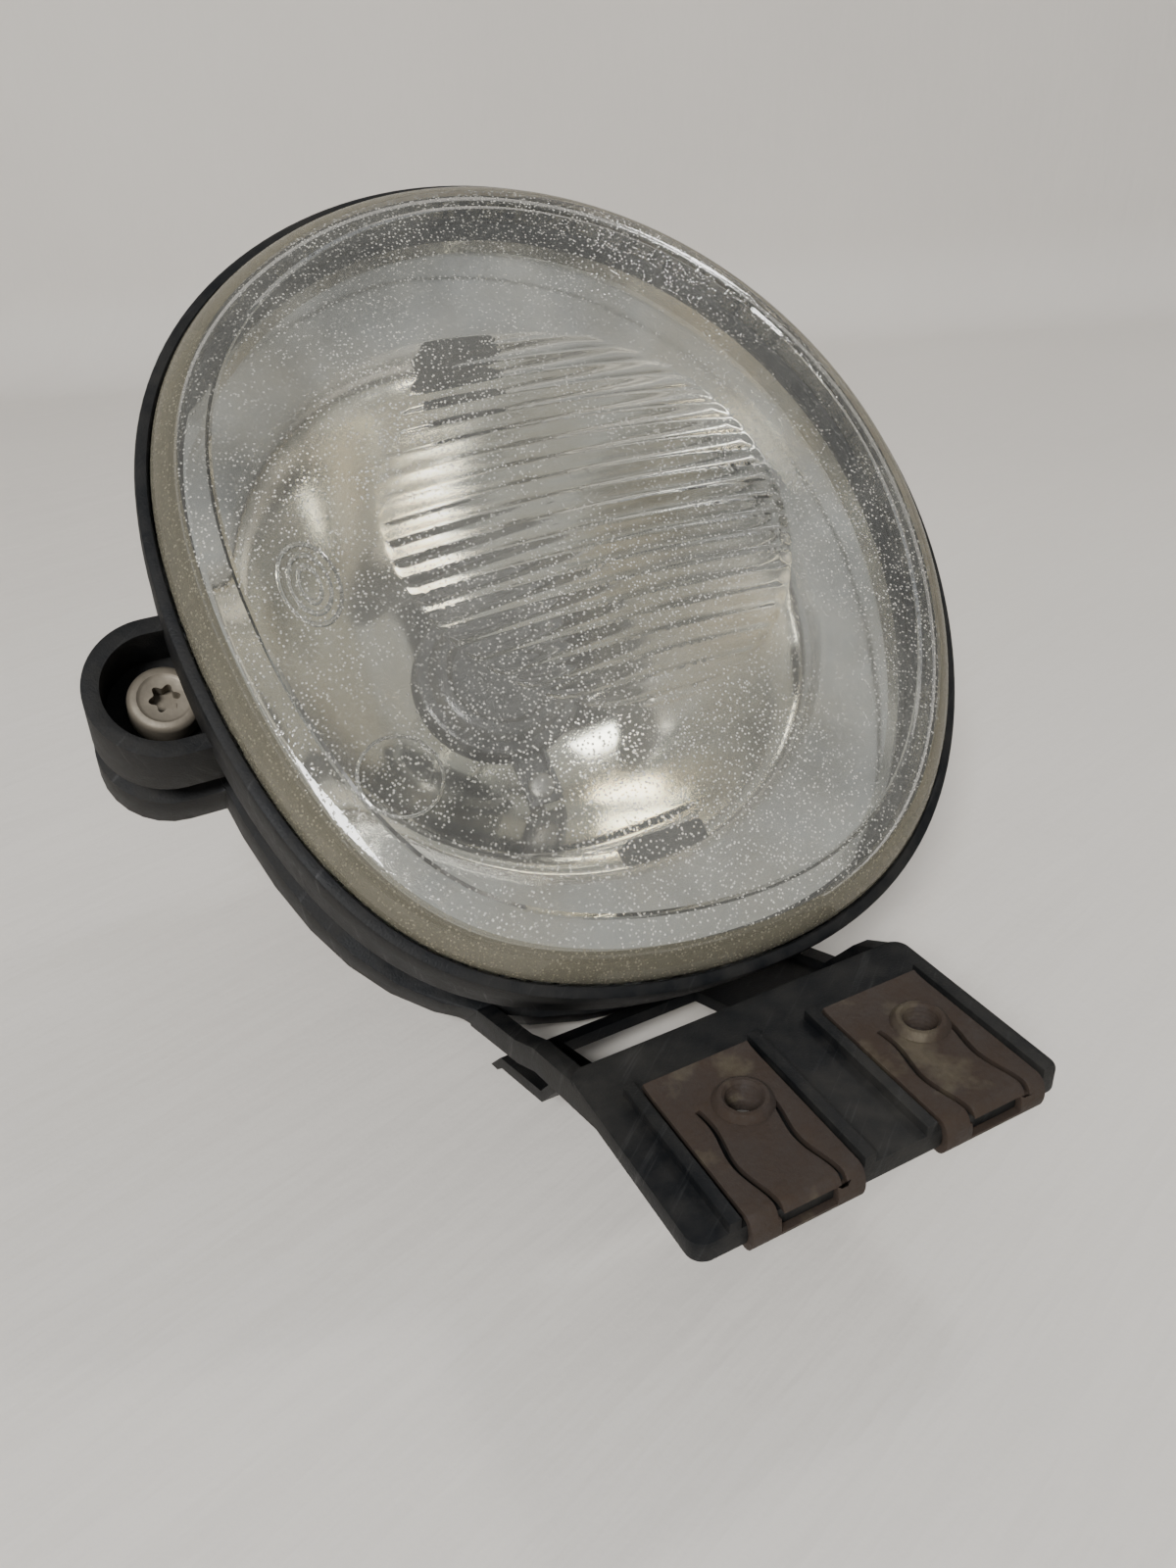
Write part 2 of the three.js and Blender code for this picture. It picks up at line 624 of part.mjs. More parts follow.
// A lead inside the neck, from a connector terminal to the bulb.
function supplyLead() {
  const y = AXIS_Y + terminalOffset;
  return wire([
    [terminalInnerX - 0.6, y, socketZ], [terminalInnerX - 1.4, y + 0.4, socketZ - 0.2],
    [terminalInnerX - 2.4, y + 4, socketZ - 1.4], [AXIS_X + 9, AXIS_Y + 11.2, tabLowZ + 2.2],
    [AXIS_X + 2, AXIS_Y + 11.5, tabLowZ + 1.8],
    [AXIS_X, AXIS_Y + 7, tabLowZ + 1.8], [AXIS_X, AXIS_Y + 3 + FIT_GAP, tabLowZ + 1.8],
  ], 1, 14, 6);
}

function earthLead() {
  const y = AXIS_Y - terminalOffset;
  return wire([
    [terminalInnerX - 0.6, y, socketZ], [terminalInnerX - 1.4, y - 0.4, socketZ - 0.2],
    [terminalInnerX - 2.4, y - 4, socketZ - 1.4], [AXIS_X + 9, AXIS_Y - 11.2, tabLowZ + 2.2],
    [AXIS_X + 3, AXIS_Y - 12.2, tabLowZ + 2],
    [AXIS_X - 3, AXIS_Y - 10.4, tabLowZ + 2], [AXIS_X - 5, AXIS_Y - 8.6, flangeBackZ - 1.6],
  ], 1, 14, 6);
}

// ---------------------------------------------------------------- rear cap

function rearCap() {
  const disc = cylinder(capRadius, capBackZ, capFrontZ, AXIS_X, AXIS_Y, 32);
  const plugOuter = neckBore - 0.4;
  const plug = tube(plugOuter - 2, plugOuter, capFrontZ - 0.5, capFrontZ + CAP_PLUG, AXIS_X, AXIS_Y, 32);
  const grip = box(
    [AXIS_X - 16, AXIS_Y - 2.5, capBackZ - 3],
    [AXIS_X + 16, AXIS_Y + 2.5, capBackZ + 0.5],
  );
  return join(disc, plug, grip);
}

function capSeal() {
  const inner = neckBore + 0.2;
  return tube(inner, neckRadius + 0.8, capSealBackZ, NECK_END_Z - FIT_GAP, AXIS_X, AXIS_Y, 32);
}

// ---------------------------------------------------------------- pivots and aiming screw

const ringOuterTop = outline(RING_INSET)[OUTLINE_STEPS / 4].y;
const ringOuterBottom = outline(RING_INSET)[(3 * OUTLINE_STEPS) / 4].y;
const pinEnd = bossOuterY - BOSS_DEPTH + 1;

function pivotPin(side) {
  const seat = side > 0 ? ringOuterTop + FIT_GAP : -ringOuterBottom + FIT_GAP;
  const shank = crossCylinder(PIN_RADIUS, pinEnd, seat + 0.5, PIVOT_X, side * PIVOT_Z);
  const head = crossCylinder(PIN_HEAD_RADIUS, seat, seat + 2, PIVOT_X, side * PIVOT_Z);
  const pin = join(shank, head);
  return side > 0 ? pin : pin.rotate([180, 0, 0]);
}

function pivotBush(side) {
  const start = bossOuterY - BOSS_DEPTH + FIT_GAP;
  const flangeStart = bossOuterY + FIT_GAP;
  const z = side * PIVOT_Z;
  const body = crossCylinder(bushOuter, start, flangeStart + 0.5, PIVOT_X, z);
  const flange = crossCylinder(bushOuter + 2, flangeStart, flangeStart + BUSH_FLANGE, PIVOT_X, z);
  const bore = crossCylinder(PIN_RADIUS + FIT_GAP, start - 1, flangeStart + 3, PIVOT_X, z);
  const bush = cut(join(body, flange), bore);
  return side > 0 ? bush : bush.rotate([180, 0, 0]);
}

function aimScrew() {
  const headTop = screwSeatZ + SCREW_HEAD_HEIGHT;
  const head = turned([
    [0, screwSeatZ], [SCREW_HEAD_RADIUS, screwSeatZ], [SCREW_HEAD_RADIUS, headTop - 1],
    [SCREW_HEAD_RADIUS - 0.8, headTop], [0, headTop],
  ], screwX, SCREW_Y, 24);
  const shank = cylinder(SCREW_RADIUS, SCREW_END_Z, screwSeatZ + 0.5, screwX, SCREW_Y, 20);
  return cut(join(head, shank), torxRecess(headTop - 3, headTop + 1));
}

// A six-lobed recess.
function torxRecess(lowZ, highZ) {
  const points = [];
  for (let i = 0; i < 24; i += 1) {
    const turn = (2 * Math.PI * i) / 24;
    const radius = TORX_RADIUS * (0.86 + 0.14 * Math.cos(6 * turn));
    points.push(new THREE.Vector2(radius * Math.cos(turn), radius * Math.sin(turn)));
  }
  const shape = new THREE.Shape(points);
  const geometry = new THREE.ExtrudeGeometry(shape, { depth: highZ - lowZ, bevelEnabled: false });
  return solid(geometry.translate(screwX, SCREW_Y, lowZ));
}

function screwWasher() {
  const high = POCKET_BACK_Z - FIT_GAP;
  const low = high - WASHER_THICKNESS;
  return tube(SCREW_RADIUS + FIT_GAP / 2, SCREW_RADIUS + 3.5, low, high, screwX, SCREW_Y, 24);
}

function ball(radius, steps) {
  const geometry = new THREE.SphereGeometry(radius, steps, steps / 2);
  return solid(geometry.rotateX(Math.PI / 2).translate(screwX, SCREW_Y, ballCentreZ));
}

function adjusterNut() {
  const bore = cylinder(ballBore, ballCentreZ - 20, ballCentreZ + 20, screwX, SCREW_Y, 20);
  const slab = cylinder(BALL_RADIUS + 2, ballCentreZ - 4.6, ballCentreZ + 4.6, screwX, SCREW_Y, 20);
  return cut(common(ball(BALL_RADIUS, 18), slab), bore);
}

// ---------------------------------------------------------------- bracket

function bracketRing() {
  const ring = cut(
    prism(RING_INSET, ringBackZ, RING_FRONT_Z),
    prism(RING_INSET + RING_WIDTH, ringBackZ - 1, RING_FRONT_Z + 1),
  );
  const foot = cylinder(FOOT_RADIUS, FOOT_FRONT_Z - FOOT_DEPTH, FOOT_FRONT_Z, screwX, SCREW_Y, 28);
  const footNeck = box(
    [screwX, SCREW_Y - FOOT_RADIUS, FOOT_FRONT_Z - FOOT_DEPTH],
    [screwX + 9, SCREW_Y + FOOT_RADIUS, FOOT_FRONT_Z],
  );
  const socket = ball(BALL_RADIUS + FIT_GAP, 18);
  const screwWay = cylinder(4.2, -60, 0, screwX, SCREW_Y, 20);
  const pinHoles = join(
    crossCylinder(PIN_RADIUS + FIT_GAP, bossOuterY, farOut, PIVOT_X, PIVOT_Z),
    crossCylinder(PIN_RADIUS + FIT_GAP, -farOut, -bossOuterY, PIVOT_X, PIVOT_Z),
  );
  return cut(join(ring, foot, footNeck), socket, screwWay, pinHoles);
}

const nutHoleX = (centre) => centre + NUT_HOLE_OFFSET;

function mountingPlate() {
  const shape = new THREE.Shape();
  const x = PLATE_LENGTH / 2 - PLATE_CORNER;
  const y = PLATE_WIDTH / 2 - PLATE_CORNER;
  shape.absarc(x, y, PLATE_CORNER, 0, Math.PI / 2);
  shape.absarc(-x, y, PLATE_CORNER, Math.PI / 2, Math.PI);
  shape.absarc(-x, -y, PLATE_CORNER, Math.PI, 1.5 * Math.PI);
  shape.absarc(x, -y, PLATE_CORNER, 1.5 * Math.PI, 2 * Math.PI);
  const options = { depth: PLATE_THICKNESS, bevelEnabled: false, curveSegments: 5 };
  let plate = solid(new THREE.ExtrudeGeometry(shape, options).translate(0, 0, -PLATE_THICKNESS));
  for (const centre of NUT_CENTRES) {
    for (const side of [-1, 1]) {
      const middle = centre + side * (NUT_WIDTH / 2 + RIDGE_GAP + RIDGE_WIDTH / 2);
      plate = join(plate, box(
        [middle - RIDGE_WIDTH / 2, plateFrontY, -1],
        [middle + RIDGE_WIDTH / 2, plateFrontY + NUT_REACH + 1, RIDGE_HEIGHT],
      ));
    }
    const hole = cylinder(NECK_OF_NUT + 0.8, -10, 10, nutHoleX(centre), NUT_HOLE_Y, 28);
    plate = cut(plate, hole);
  }
  return plate;
}

// The point of the YZ plane where a point of the lamp's own YZ plane comes to lie.
function atSide(y, z) {
  const place = new THREE.Vector3(0, y, z).applyMatrix4(lampMatrix);
  return [place.y, place.z];
}

// The lower edge of the outline, moved inwards by an inset, at a given x.
function lowEdge(x, inset) {
  const below = outline(inset).filter((point) => point.y < 0);
  return below.sort((a, b) => Math.abs(a.x - x + LAMP_X) - Math.abs(b.x - x + LAMP_X))[0].y;
}

// Two points of the bracket that pass below the rim at a given x, clear of it.
function belowRim(x) {
  const front = atSide(lowEdge(x, 0), 0);
  const back = atSide(lowEdge(x, 0), -FLANGE_BACK);
  return [
    [front[0] - 2, Math.min(front[1] - RIM_CLEARANCE, -5)],
    [back[0] - 3, back[1] - RIM_CLEARANCE],
  ];
}

const lowered = (points, drop) => points.map(([y, z]) => [y, z - drop]).reverse();

// An arm at one end of the plate, out to the ring, and the skid behind it.
function bracketArm(lowX) {
  const middleX = lowX + ARM_THICKNESS / 2;
  const ringY = lowEdge(middleX, RING_INSET);
  const under = belowRim(middleX);
  const front = atSide(ringY + 2, RING_FRONT_Z - 1);
  const middle = atSide(ringY + 2, ringBackZ + 3);
  const back = atSide(ringY, ringBackZ + 0.5);
  const inner = atSide(ringY + 4, ringBackZ + 0.5);
  const arm = [
    [plateRearY - 9, -PLATE_THICKNESS], [plateRearY - 1, -0.5], ...under, front, middle, back,
    ...lowered(under, ARM_DEPTH),
  ];
  const skidEnd = inner[0] + SKID_LENGTH;
  const skid = [
    middle, inner, [skidEnd, footZ + 5], [skidEnd, footZ], [back[0] + SKID_START + 6, footZ],
    [back[0] + 4, back[1] - 1.5], [back[0] - 3, back[1] + 2],
  ];
  const highX = lowX + ARM_THICKNESS;
  return join(sidePanel(arm, lowX, highX), sidePanel(skid, lowX, highX));
}

// Arms at both ends of the plate, and the sloping web between them with its slot.
function bracketArms() {
  const endX = PLATE_LENGTH / 2;
  const under = belowRim(LAMP_X);
  const front = atSide(ringOuterBottom + 1, RING_FRONT_Z);
  const back = atSide(ringOuterBottom + 1, ringBackZ + 1);
  const web = [
    [plateRearY - 1, -0.5], ...under, front, back, [back[0] - 3, back[1] + 1],
    ...lowered([front], WEB_THICKNESS), ...lowered(under, WEB_THICKNESS),
    [plateRearY - 2, -PLATE_THICKNESS],
  ];
  const slotEnd = plateRearY + 0.6 + SLOT_LENGTH;
  return cut(
    join(
      bracketArm(-endX),
      bracketArm(endX - ARM_THICKNESS),
      sidePanel(web, -endX + 1, endX - 1),
    ),
    box([SLOT_LEFT, plateRearY + 0.6, -40], [SLOT_RIGHT, slotEnd, 5]),
  );
}

// Room in the web for the lower pivot pin and its head.
function pinHeadRoom() {
  const room = PIN_HEAD_RADIUS + 1;
  return inPartFrame(crossCylinder(room, -farOut, ringOuterBottom + 2, PIVOT_X, PIVOT_Z));
}

function bracketFrame() {
  const arms = cut(bracketArms(), pinHeadRoom());
  return join(mountingPlate(), arms, inPartFrame(bracketRing()));
}

// A sheet-metal spring nut pushed over the plate's free edge.
function springNut(centre) {
  const rear = plateFrontY + NUT_REACH;
  const front = plateFrontY - FIT_GAP;
  const under = -PLATE_THICKNESS - FIT_GAP;
  const top = FIT_GAP;
  const half = NUT_WIDTH / 2;
  const clip = sidePanel([
    [rear, top], [rear, top + NUT_SHEET], [front - NUT_SHEET, top + NUT_SHEET],
    [front - NUT_SHEET, under - NUT_SHEET], [6, under - NUT_SHEET], [6, under], [front, under],
    [front, top],
  ], centre - half, centre + half);
  const tongue = half - 4.4;
  const window = box(
    [centre - tongue, front - 5, -PLATE_THICKNESS / 2 - 1], [centre + tongue, plateFrontY + 0.6, 5],
  );
  const slots = [-1, 1].map((side) => box(
    [centre + side * tongue - 0.6, front - 5, 0], [centre + side * tongue + 0.6, 1.5, 5],
  ));
  const x = nutHoleX(centre);
  const neck = cylinder(NECK_OF_NUT, -PLATE_THICKNESS + 0.2, top + 0.5, x, NUT_HOLE_Y, 24);
  const clearance = cylinder(NECK_OF_NUT + 0.6, under - 5, under + 0.1, x, NUT_HOLE_Y, 24);
  const thread = cylinder(THREAD_RADIUS, -20, 20, x, NUT_HOLE_Y, 24);
  return cut(join(clip, neck), window, ...slots, clearance, thread);
}

// ---------------------------------------------------------------- materials and assembly

const finish = (color, roughness, metalness = 0) => ({ color, roughness, metalness });
const BLACK_PLASTIC = finish(0x17191b, 0.62);
const RUSTY_STEEL = finish(0x6b4632, 0.75, 0.7);
const ZINC = finish(0x9a958a, 0.42, 0.9);
const RUBBER = finish(0x1c1c1c, 0.85);
const BRASS = finish(0xb79a5b, 0.35, 0.9);
const STEEL = finish(0xb9bcbd, 0.3, 0.95);
const NYLON = finish(0xd8d2c0, 0.55);

function meshOf(name, made, look) {
  const mesh = new THREE.Mesh(geometryOf(made), new THREE.MeshStandardMaterial(look));
  mesh.name = name;
  return mesh;
}

const lamp = new THREE.Group();
lamp.position.copy(lampPlace);
lamp.rotation.x = LAMP_TILT;
lamp.add(
  meshOf("lens_glass", lensGlass(), { ...finish(0xdfe6e2, 0.05), transparent: true, opacity: 0.35 }),
  meshOf("lens_seal", lensSeal(), RUBBER),
  meshOf("reflector", reflector(), finish(0xd9d9d6, 0.12, 1)),
  meshOf("lamp_housing", lampHousing(), BLACK_PLASTIC),
  meshOf("breather_cap", breatherCap(), RUBBER),
  meshOf("bulb_base", bulbBase(), STEEL),
  meshOf("bulb_glass", bulbGlass(), { ...finish(0xf4f6f8, 0.02), transparent: true, opacity: 0.3 }),
  meshOf("bulb_filament", bulbFilament(), finish(0x8c8c90, 0.4, 0.9)),
  meshOf("bulb_contact", bulbContact(), BRASS),
  meshOf("bulb_clip", bulbClip(), STEEL),
  meshOf("clip_screw", clipScrew(), ZINC),
  meshOf("bulb_shield", bulbShield(), finish(0x4a4b4c, 0.35, 0.9)),
  meshOf("shield_rivet", shieldRivet(), ZINC),
  meshOf("connector_socket", connectorSocket(), BLACK_PLASTIC),
  meshOf("terminal_supply", terminal(1), BRASS),
  meshOf("terminal_earth", terminal(-1), BRASS),
  meshOf("lead_supply", supplyLead(), finish(0x2f5f9e, 0.5)),
  meshOf("lead_earth", earthLead(), finish(0x5a3a22, 0.5)),
  meshOf("rear_cap", rearCap(), BLACK_PLASTIC),
  meshOf("cap_seal", capSeal(), RUBBER),
  meshOf("pivot_bush_upper", pivotBush(1), NYLON),
  meshOf("pivot_bush_lower", pivotBush(-1), NYLON),
  meshOf("pivot_pin_upper", pivotPin(1), ZINC),
  meshOf("pivot_pin_lower", pivotPin(-1), ZINC),
  meshOf("aim_screw", aimScrew(), ZINC),
  meshOf("screw_washer", screwWasher(), ZINC),
  meshOf("adjuster_nut", adjusterNut(), NYLON),
);

const fogLight = new THREE.Group();
fogLight.add(
  lamp,
  meshOf("bracket_frame", bracketFrame(), BLACK_PLASTIC),
  meshOf("spring_nut_left", springNut(NUT_CENTRES[0]), RUSTY_STEEL),
  meshOf("spring_nut_right", springNut(NUT_CENTRES[1]), RUSTY_STEEL),
);

export default fogLight;
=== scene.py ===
"""Fog light: the looks of an egg-shaped glass lamp that tilts in a black bracket.

Sizes are in metres.  The lamp has a frame of its own, tilted about X, whose Z is the lens axis
and whose origin is on the rim plane in the middle of the lens.
"""

import math

import bpy
from bpy.props import FloatProperty, FloatVectorProperty, IntProperty, PointerProperty
from mathutils import Matrix, Vector


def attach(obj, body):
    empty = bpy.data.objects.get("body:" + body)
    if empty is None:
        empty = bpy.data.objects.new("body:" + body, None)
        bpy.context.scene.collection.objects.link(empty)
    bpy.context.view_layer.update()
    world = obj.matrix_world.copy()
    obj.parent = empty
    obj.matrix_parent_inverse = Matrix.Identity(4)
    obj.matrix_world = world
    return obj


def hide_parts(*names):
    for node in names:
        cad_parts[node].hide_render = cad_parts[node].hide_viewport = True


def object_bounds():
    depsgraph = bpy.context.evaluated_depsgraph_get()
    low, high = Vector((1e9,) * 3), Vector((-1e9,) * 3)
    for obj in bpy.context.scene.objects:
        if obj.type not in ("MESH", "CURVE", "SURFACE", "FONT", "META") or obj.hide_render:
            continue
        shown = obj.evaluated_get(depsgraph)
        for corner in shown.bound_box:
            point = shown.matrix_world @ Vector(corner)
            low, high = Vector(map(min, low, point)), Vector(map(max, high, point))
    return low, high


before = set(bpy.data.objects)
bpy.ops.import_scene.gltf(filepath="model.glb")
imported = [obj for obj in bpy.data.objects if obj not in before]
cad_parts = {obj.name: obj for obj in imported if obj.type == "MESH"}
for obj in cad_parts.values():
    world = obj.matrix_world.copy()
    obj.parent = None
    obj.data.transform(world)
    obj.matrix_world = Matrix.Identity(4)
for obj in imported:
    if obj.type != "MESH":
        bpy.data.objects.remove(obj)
CAD_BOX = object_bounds()
MM = 0.001
LENS_MIDDLE = Vector((8.7, 83.5, 51.8)) * MM
LENS_TILT = math.radians(43)
LAMP = Matrix.Translation(LENS_MIDDLE) @ Matrix.Rotation(LENS_TILT, 4, "X")

bl_info = {
    "name": "Fog Light",
    "version": (1, 0, 0),
    "blender": (4, 5, 0),
    "location": "View3D > Sidebar > Fog Light",
    "description": "Builds an adjustable fog light round its packed frame",
    "category": "Object",
}


# ---------------------------------------------------------------- sizes and colours


class FogLightSizes(bpy.types.PropertyGroup):
    """Sizes that shape the lamp."""

    half_width: FloatProperty(
        name="Half width", description="Half the rim's width", default=73 * MM, unit="LENGTH"
    )
    half_height: FloatProperty(
        name="Half height", description="Half the rim's height", default=81.5 * MM, unit="LENGTH"
    )
    bead: FloatProperty(
        name="Bead", description="Radius of the glass's rounded rim", default=8.6 * MM,
        unit="LENGTH",
    )
    glass_peak: FloatProperty(
        name="Glass peak", description="Height of the glass's middle", default=10.5 * MM,
        unit="LENGTH",
    )
    glass_wall: FloatProperty(
        name="Glass wall", description="Thickness of the glass", default=4 * MM, unit="LENGTH"
    )
    flute_pitch: FloatProperty(
        name="Flute pitch", description="From one flute to the next", default=3.6 * MM,
        unit="LENGTH",
    )
    flute_depth: FloatProperty(
        name="Flute depth", description="Height of a flute", default=0.58 * MM, unit="LENGTH"
    )
    flute_circle: FloatProperty(
        name="Flute circle", description="Radius of the fluted patch", default=37.5 * MM,
        unit="LENGTH",
    )
    shield_radius: FloatProperty(
        name="Shield radius", description="Radius of the bulb shield", default=18.5 * MM,
        unit="LENGTH",
    )
    turns: IntProperty(
        name="Turns", description="Steps round the rim", default=160, min=48, max=480
    )


class FogLightColours(bpy.types.PropertyGroup):
    """Colours of its finishes."""

    plastic: FloatVectorProperty(
        name="Plastic", description="Bracket and housing", subtype="COLOR",
        default=(0.0030, 0.0036, 0.0045),
    )
    dust: FloatVectorProperty(
        name="Dust", description="Road dust in the corners", subtype="COLOR",
        default=(0.16, 0.145, 0.12),
    )
    rust: FloatVectorProperty(
        name="Rust", description="Rust on the spring nuts", subtype="COLOR",
        default=(0.030, 0.019, 0.012),
    )
    sealant: FloatVectorProperty(
        name="Sealant", description="Bed of sealant under the glass", subtype="COLOR",
        default=(0.46, 0.38, 0.24),
    )
    floor: FloatVectorProperty(
        name="Floor", description="Floor and backdrop", subtype="COLOR",
        default=(0.74, 0.70, 0.645),
    )


class FogLightStage(bpy.types.PropertyGroup):
    """Light and camera."""

    key: FloatProperty(
        name="Key light", description="Power of the large soft light", default=66, unit="POWER"
    )
    fill: FloatProperty(
        name="Fill light", description="Power of the second light", default=24, unit="POWER"
    )
    sky: FloatProperty(name="Sky", description="Strength of the light all round", default=0.38)
    lens: FloatProperty(
        name="Lens", description="Focal length of the camera", default=27, unit="CAMERA"
    )


# ---------------------------------------------------------------- finishes


class Wire:
    """A socket that arithmetic can be done on: each sum adds its Math node."""

    def __init__(self, finish, socket):
        self.finish = finish
        self.socket = socket

    def _sum(self, operation, first, second):
        return self.finish.node("ShaderNodeMath", {"operation": operation}, {0: first, 1: second})

    def __add__(self, other):
        return self._sum("ADD", self, other)

    def __radd__(self, other):
        return self._sum("ADD", other, self)

    def __sub__(self, other):
        return self._sum("SUBTRACT", self, other)

    def __rsub__(self, other):
        return self._sum("SUBTRACT", other, self)

    def __mul__(self, other):
        return self._sum("MULTIPLY", self, other)

    def __rmul__(self, other):
        return self._sum("MULTIPLY", other, self)


class Finish:
    """The nodes of one finish."""

    def __init__(self, name, **constants):
        self.material = bpy.data.materials.new(name)
        self.material.use_nodes = True
        self.tree = self.material.node_tree
        self.shader = self.tree.nodes["Principled BSDF"]
        self.place = self.node("ShaderNodeTexCoord", output="Object")
        for socket, value in constants.items():
            self.shader.inputs[socket.replace("_", " ")].default_value = value

    def node(self, kind, settings=None, sockets=None, output=0):
        """Any node: its settings first, then the values or links of its sockets."""
        made = self.tree.nodes.new(kind)
        for setting, value in (settings or {}).items():
            if setting == "stops":
                ramp = made.color_ramp.elements
                while len(ramp) < len(value):
                    ramp.new(0.5)
                for stop, (position, shade) in zip(ramp, value):
                    stop.position = position
                    stop.color = (shade, shade, shade, 1)
            else:
                setattr(made, setting, value)
        for socket, value in (sockets or {}).items():
            self.feed(made.inputs[socket], value)
        return Wire(self, made.outputs[output])

    def feed(self, socket, value):
        if isinstance(value, Wire):
            self.tree.links.new(value.socket, socket)
        elif isinstance(value, (tuple, list)) and len(value) == 3 and socket.type == "RGBA":
            socket.default_value = (*value, 1)
        else:
            socket.default_value = value

    def noise(self, scale, detail=3, rough=0.55, place=None):
        sockets = {
            "Vector": place or self.place, "Scale": scale, "Detail": detail, "Roughness": rough,
        }
        return self.node("ShaderNodeTexNoise", {}, sockets)

    def specks(self, scale, place=None):
        sockets = {"Vector": place or self.place, "Scale": scale, "Randomness": 1.0}
        return self.node("ShaderNodeTexVoronoi", {}, sockets)

    def moved(self, location=(0, 0, 0), rotation=(0, 0, 0), scale=(1, 1, 1), place=None):
        sockets = {
            "Vector": place or self.place, "Location": location, "Rotation": rotation, "Scale": scale,
        }
        return self.node("ShaderNodeMapping", {"vector_type": "TEXTURE"}, sockets)

    def ramp(self, value, *stops):
        return self.node("ShaderNodeValToRGB", {"stops": stops}, {0: value})

    def mix(self, factor, first, second):
        return self.node("ShaderNodeMix", {"data_type": "RGBA"}, {0: factor, 6: first, 7: second}, 2)

    def bump(self, height, depth, strength=1.0, over=None):
        sockets = {"Height": height, "Distance": depth, "Strength": strength}
        if over:
            sockets["Normal"] = over
        return self.node("ShaderNodeBump", {}, sockets)

    def set(self, **sockets):
        for socket, value in sockets.items():
            self.feed(self.shader.inputs[socket.replace("_", " ")], value)
        return self.material


def black_plastic(name, colours, dusty=1.0):
    finish = Finish(name, Specular_IOR_Level=0.2)
    broad = finish.noise(28, 5, 0.6)
    patches = finish.noise(210, 4, 0.65)
    grain = finish.noise(2600, 2, 0.6)
    scratch = finish.noise(55, 3, 0.6, finish.moved(rotation=(0.3, 0.2, 0.7), scale=(1, 0.06, 1)))
    dust = finish.ramp(broad * 0.6 + patches * 0.4, (0.42, 0.0), (0.66, 1.0))
    scuffs = finish.ramp(scratch, (0.60, 0.0), (0.72, 1.0))
    shade = finish.mix(dust * 0.11 * dusty, tuple(colours.plastic), tuple(colours.dust))
    shade = finish.mix(scuffs * 0.10, shade, (0.10, 0.10, 0.10))
    relief = finish.bump(grain, 0.00012, 0.55)
    relief = finish.bump(patches, 0.0004, 0.18, relief)
    return finish.set(
        Base_Color=shade,
        Roughness=0.47 + dust * 0.22 + grain * 0.12 - scuffs * 0.1,
        Normal=relief,
    )


def rusty_steel(name, colours):
    finish = Finish(name, Specular_IOR_Level=0.35)
    patches = finish.noise(150, 6, 0.68)
    fine = finish.noise(1300, 4, 0.7)
    pits = finish.specks(900)
    old = finish.ramp(patches * 0.7 + fine * 0.3, (0.38, 0.0), (0.62, 1.0))
    bare = finish.ramp(finish.noise(90, 4, 0.6), (0.56, 0.0), (0.68, 1.0))
    shade = finish.mix(old, (0.028, 0.020, 0.016), tuple(colours.rust))
    shade = finish.mix(bare * 0.6, shade, (0.11, 0.092, 0.06))
    relief = finish.bump(patches, 0.0006, 0.5)
    relief = finish.bump(fine * 0.6 + pits * 0.4, 0.00025, 0.7, relief)
    return finish.set(
        Base_Color=shade,
        Roughness=0.66 + old * 0.22 - bare * 0.14,
        Metallic=bare * 0.35,
        Normal=relief,
    )


def plain_metal(name, colour, roughness, wear=0.12, metal=1.0):
    finish = Finish(name, Metallic=metal)
    broad = finish.noise(120, 4, 0.6)
    fine = finish.noise(1800, 3, 0.6)
    dull = finish.ramp(broad, (0.40, 0.0), (0.68, 1.0))
    darker = tuple(c * (1 - 2.5 * wear) for c in colour)
    return finish.set(
        Base_Color=finish.mix(dull, colour, darker),
        Roughness=roughness + dull * wear + fine * 0.08,
        Normal=finish.bump(fine, 0.00006, 0.5),
    )


def plain_plastic(name, colour, roughness):
    finish = Finish(name, Specular_IOR_Level=0.4)
    broad = finish.noise(90, 4, 0.6)
    grain = finish.noise(2200, 3, 0.6)
    darker = tuple(c * 0.72 for c in colour)
    return finish.set(
        Base_Color=finish.mix(broad, colour, darker),
        Roughness=roughness + broad * 0.12,
        Normal=finish.bump(grain, 0.00008, 0.5),
    )


def clear_glass(name, dirt, film_colour=(0.60, 0.58, 0.51), least=0.05):
    """Clear glass, with a film and specks of dust as strong as dirt says, and least all over."""
    finish = Finish(
        name, Transmission_Weight=1.0, IOR=1.5, Base_Color=(0.985, 0.995, 0.985, 1), Roughness=0.0
    )
    if not dirt:
        broad = finish.noise(60, 3)
        return finish.set(Roughness=0.01 + broad * 0.02)
    dots = finish.ramp(finish.specks(1500), (0.12, 1.0), (0.36, 0.0))
    sparse = finish.ramp(finish.noise(34, 7, 0.8), (0.36, 0.0), (0.60, 1.0))
    film = finish.ramp(finish.noise(22, 6, 0.66), (0.36, 0.0), (0.70, 1.0))
    marks = dots * sparse
    finish.set(Roughness=0.02 + film * 0.05, Normal=finish.bump(marks, 0.0001, 0.3))
    dust = finish.node(
        "ShaderNodeBsdfPrincipled", {}, {"Base Color": film_colour, "Roughness": 0.9}
    )
    cover = dirt * (least + film * 0.12 + marks * 0.85)
    clear = Wire(finish, finish.shader.outputs[0])
    both = finish.node("ShaderNodeMixShader", {}, {0: cover, 1: clear, 2: dust})
    finish.feed(finish.tree.nodes["Material Output"].inputs["Surface"], both)
    return finish.material


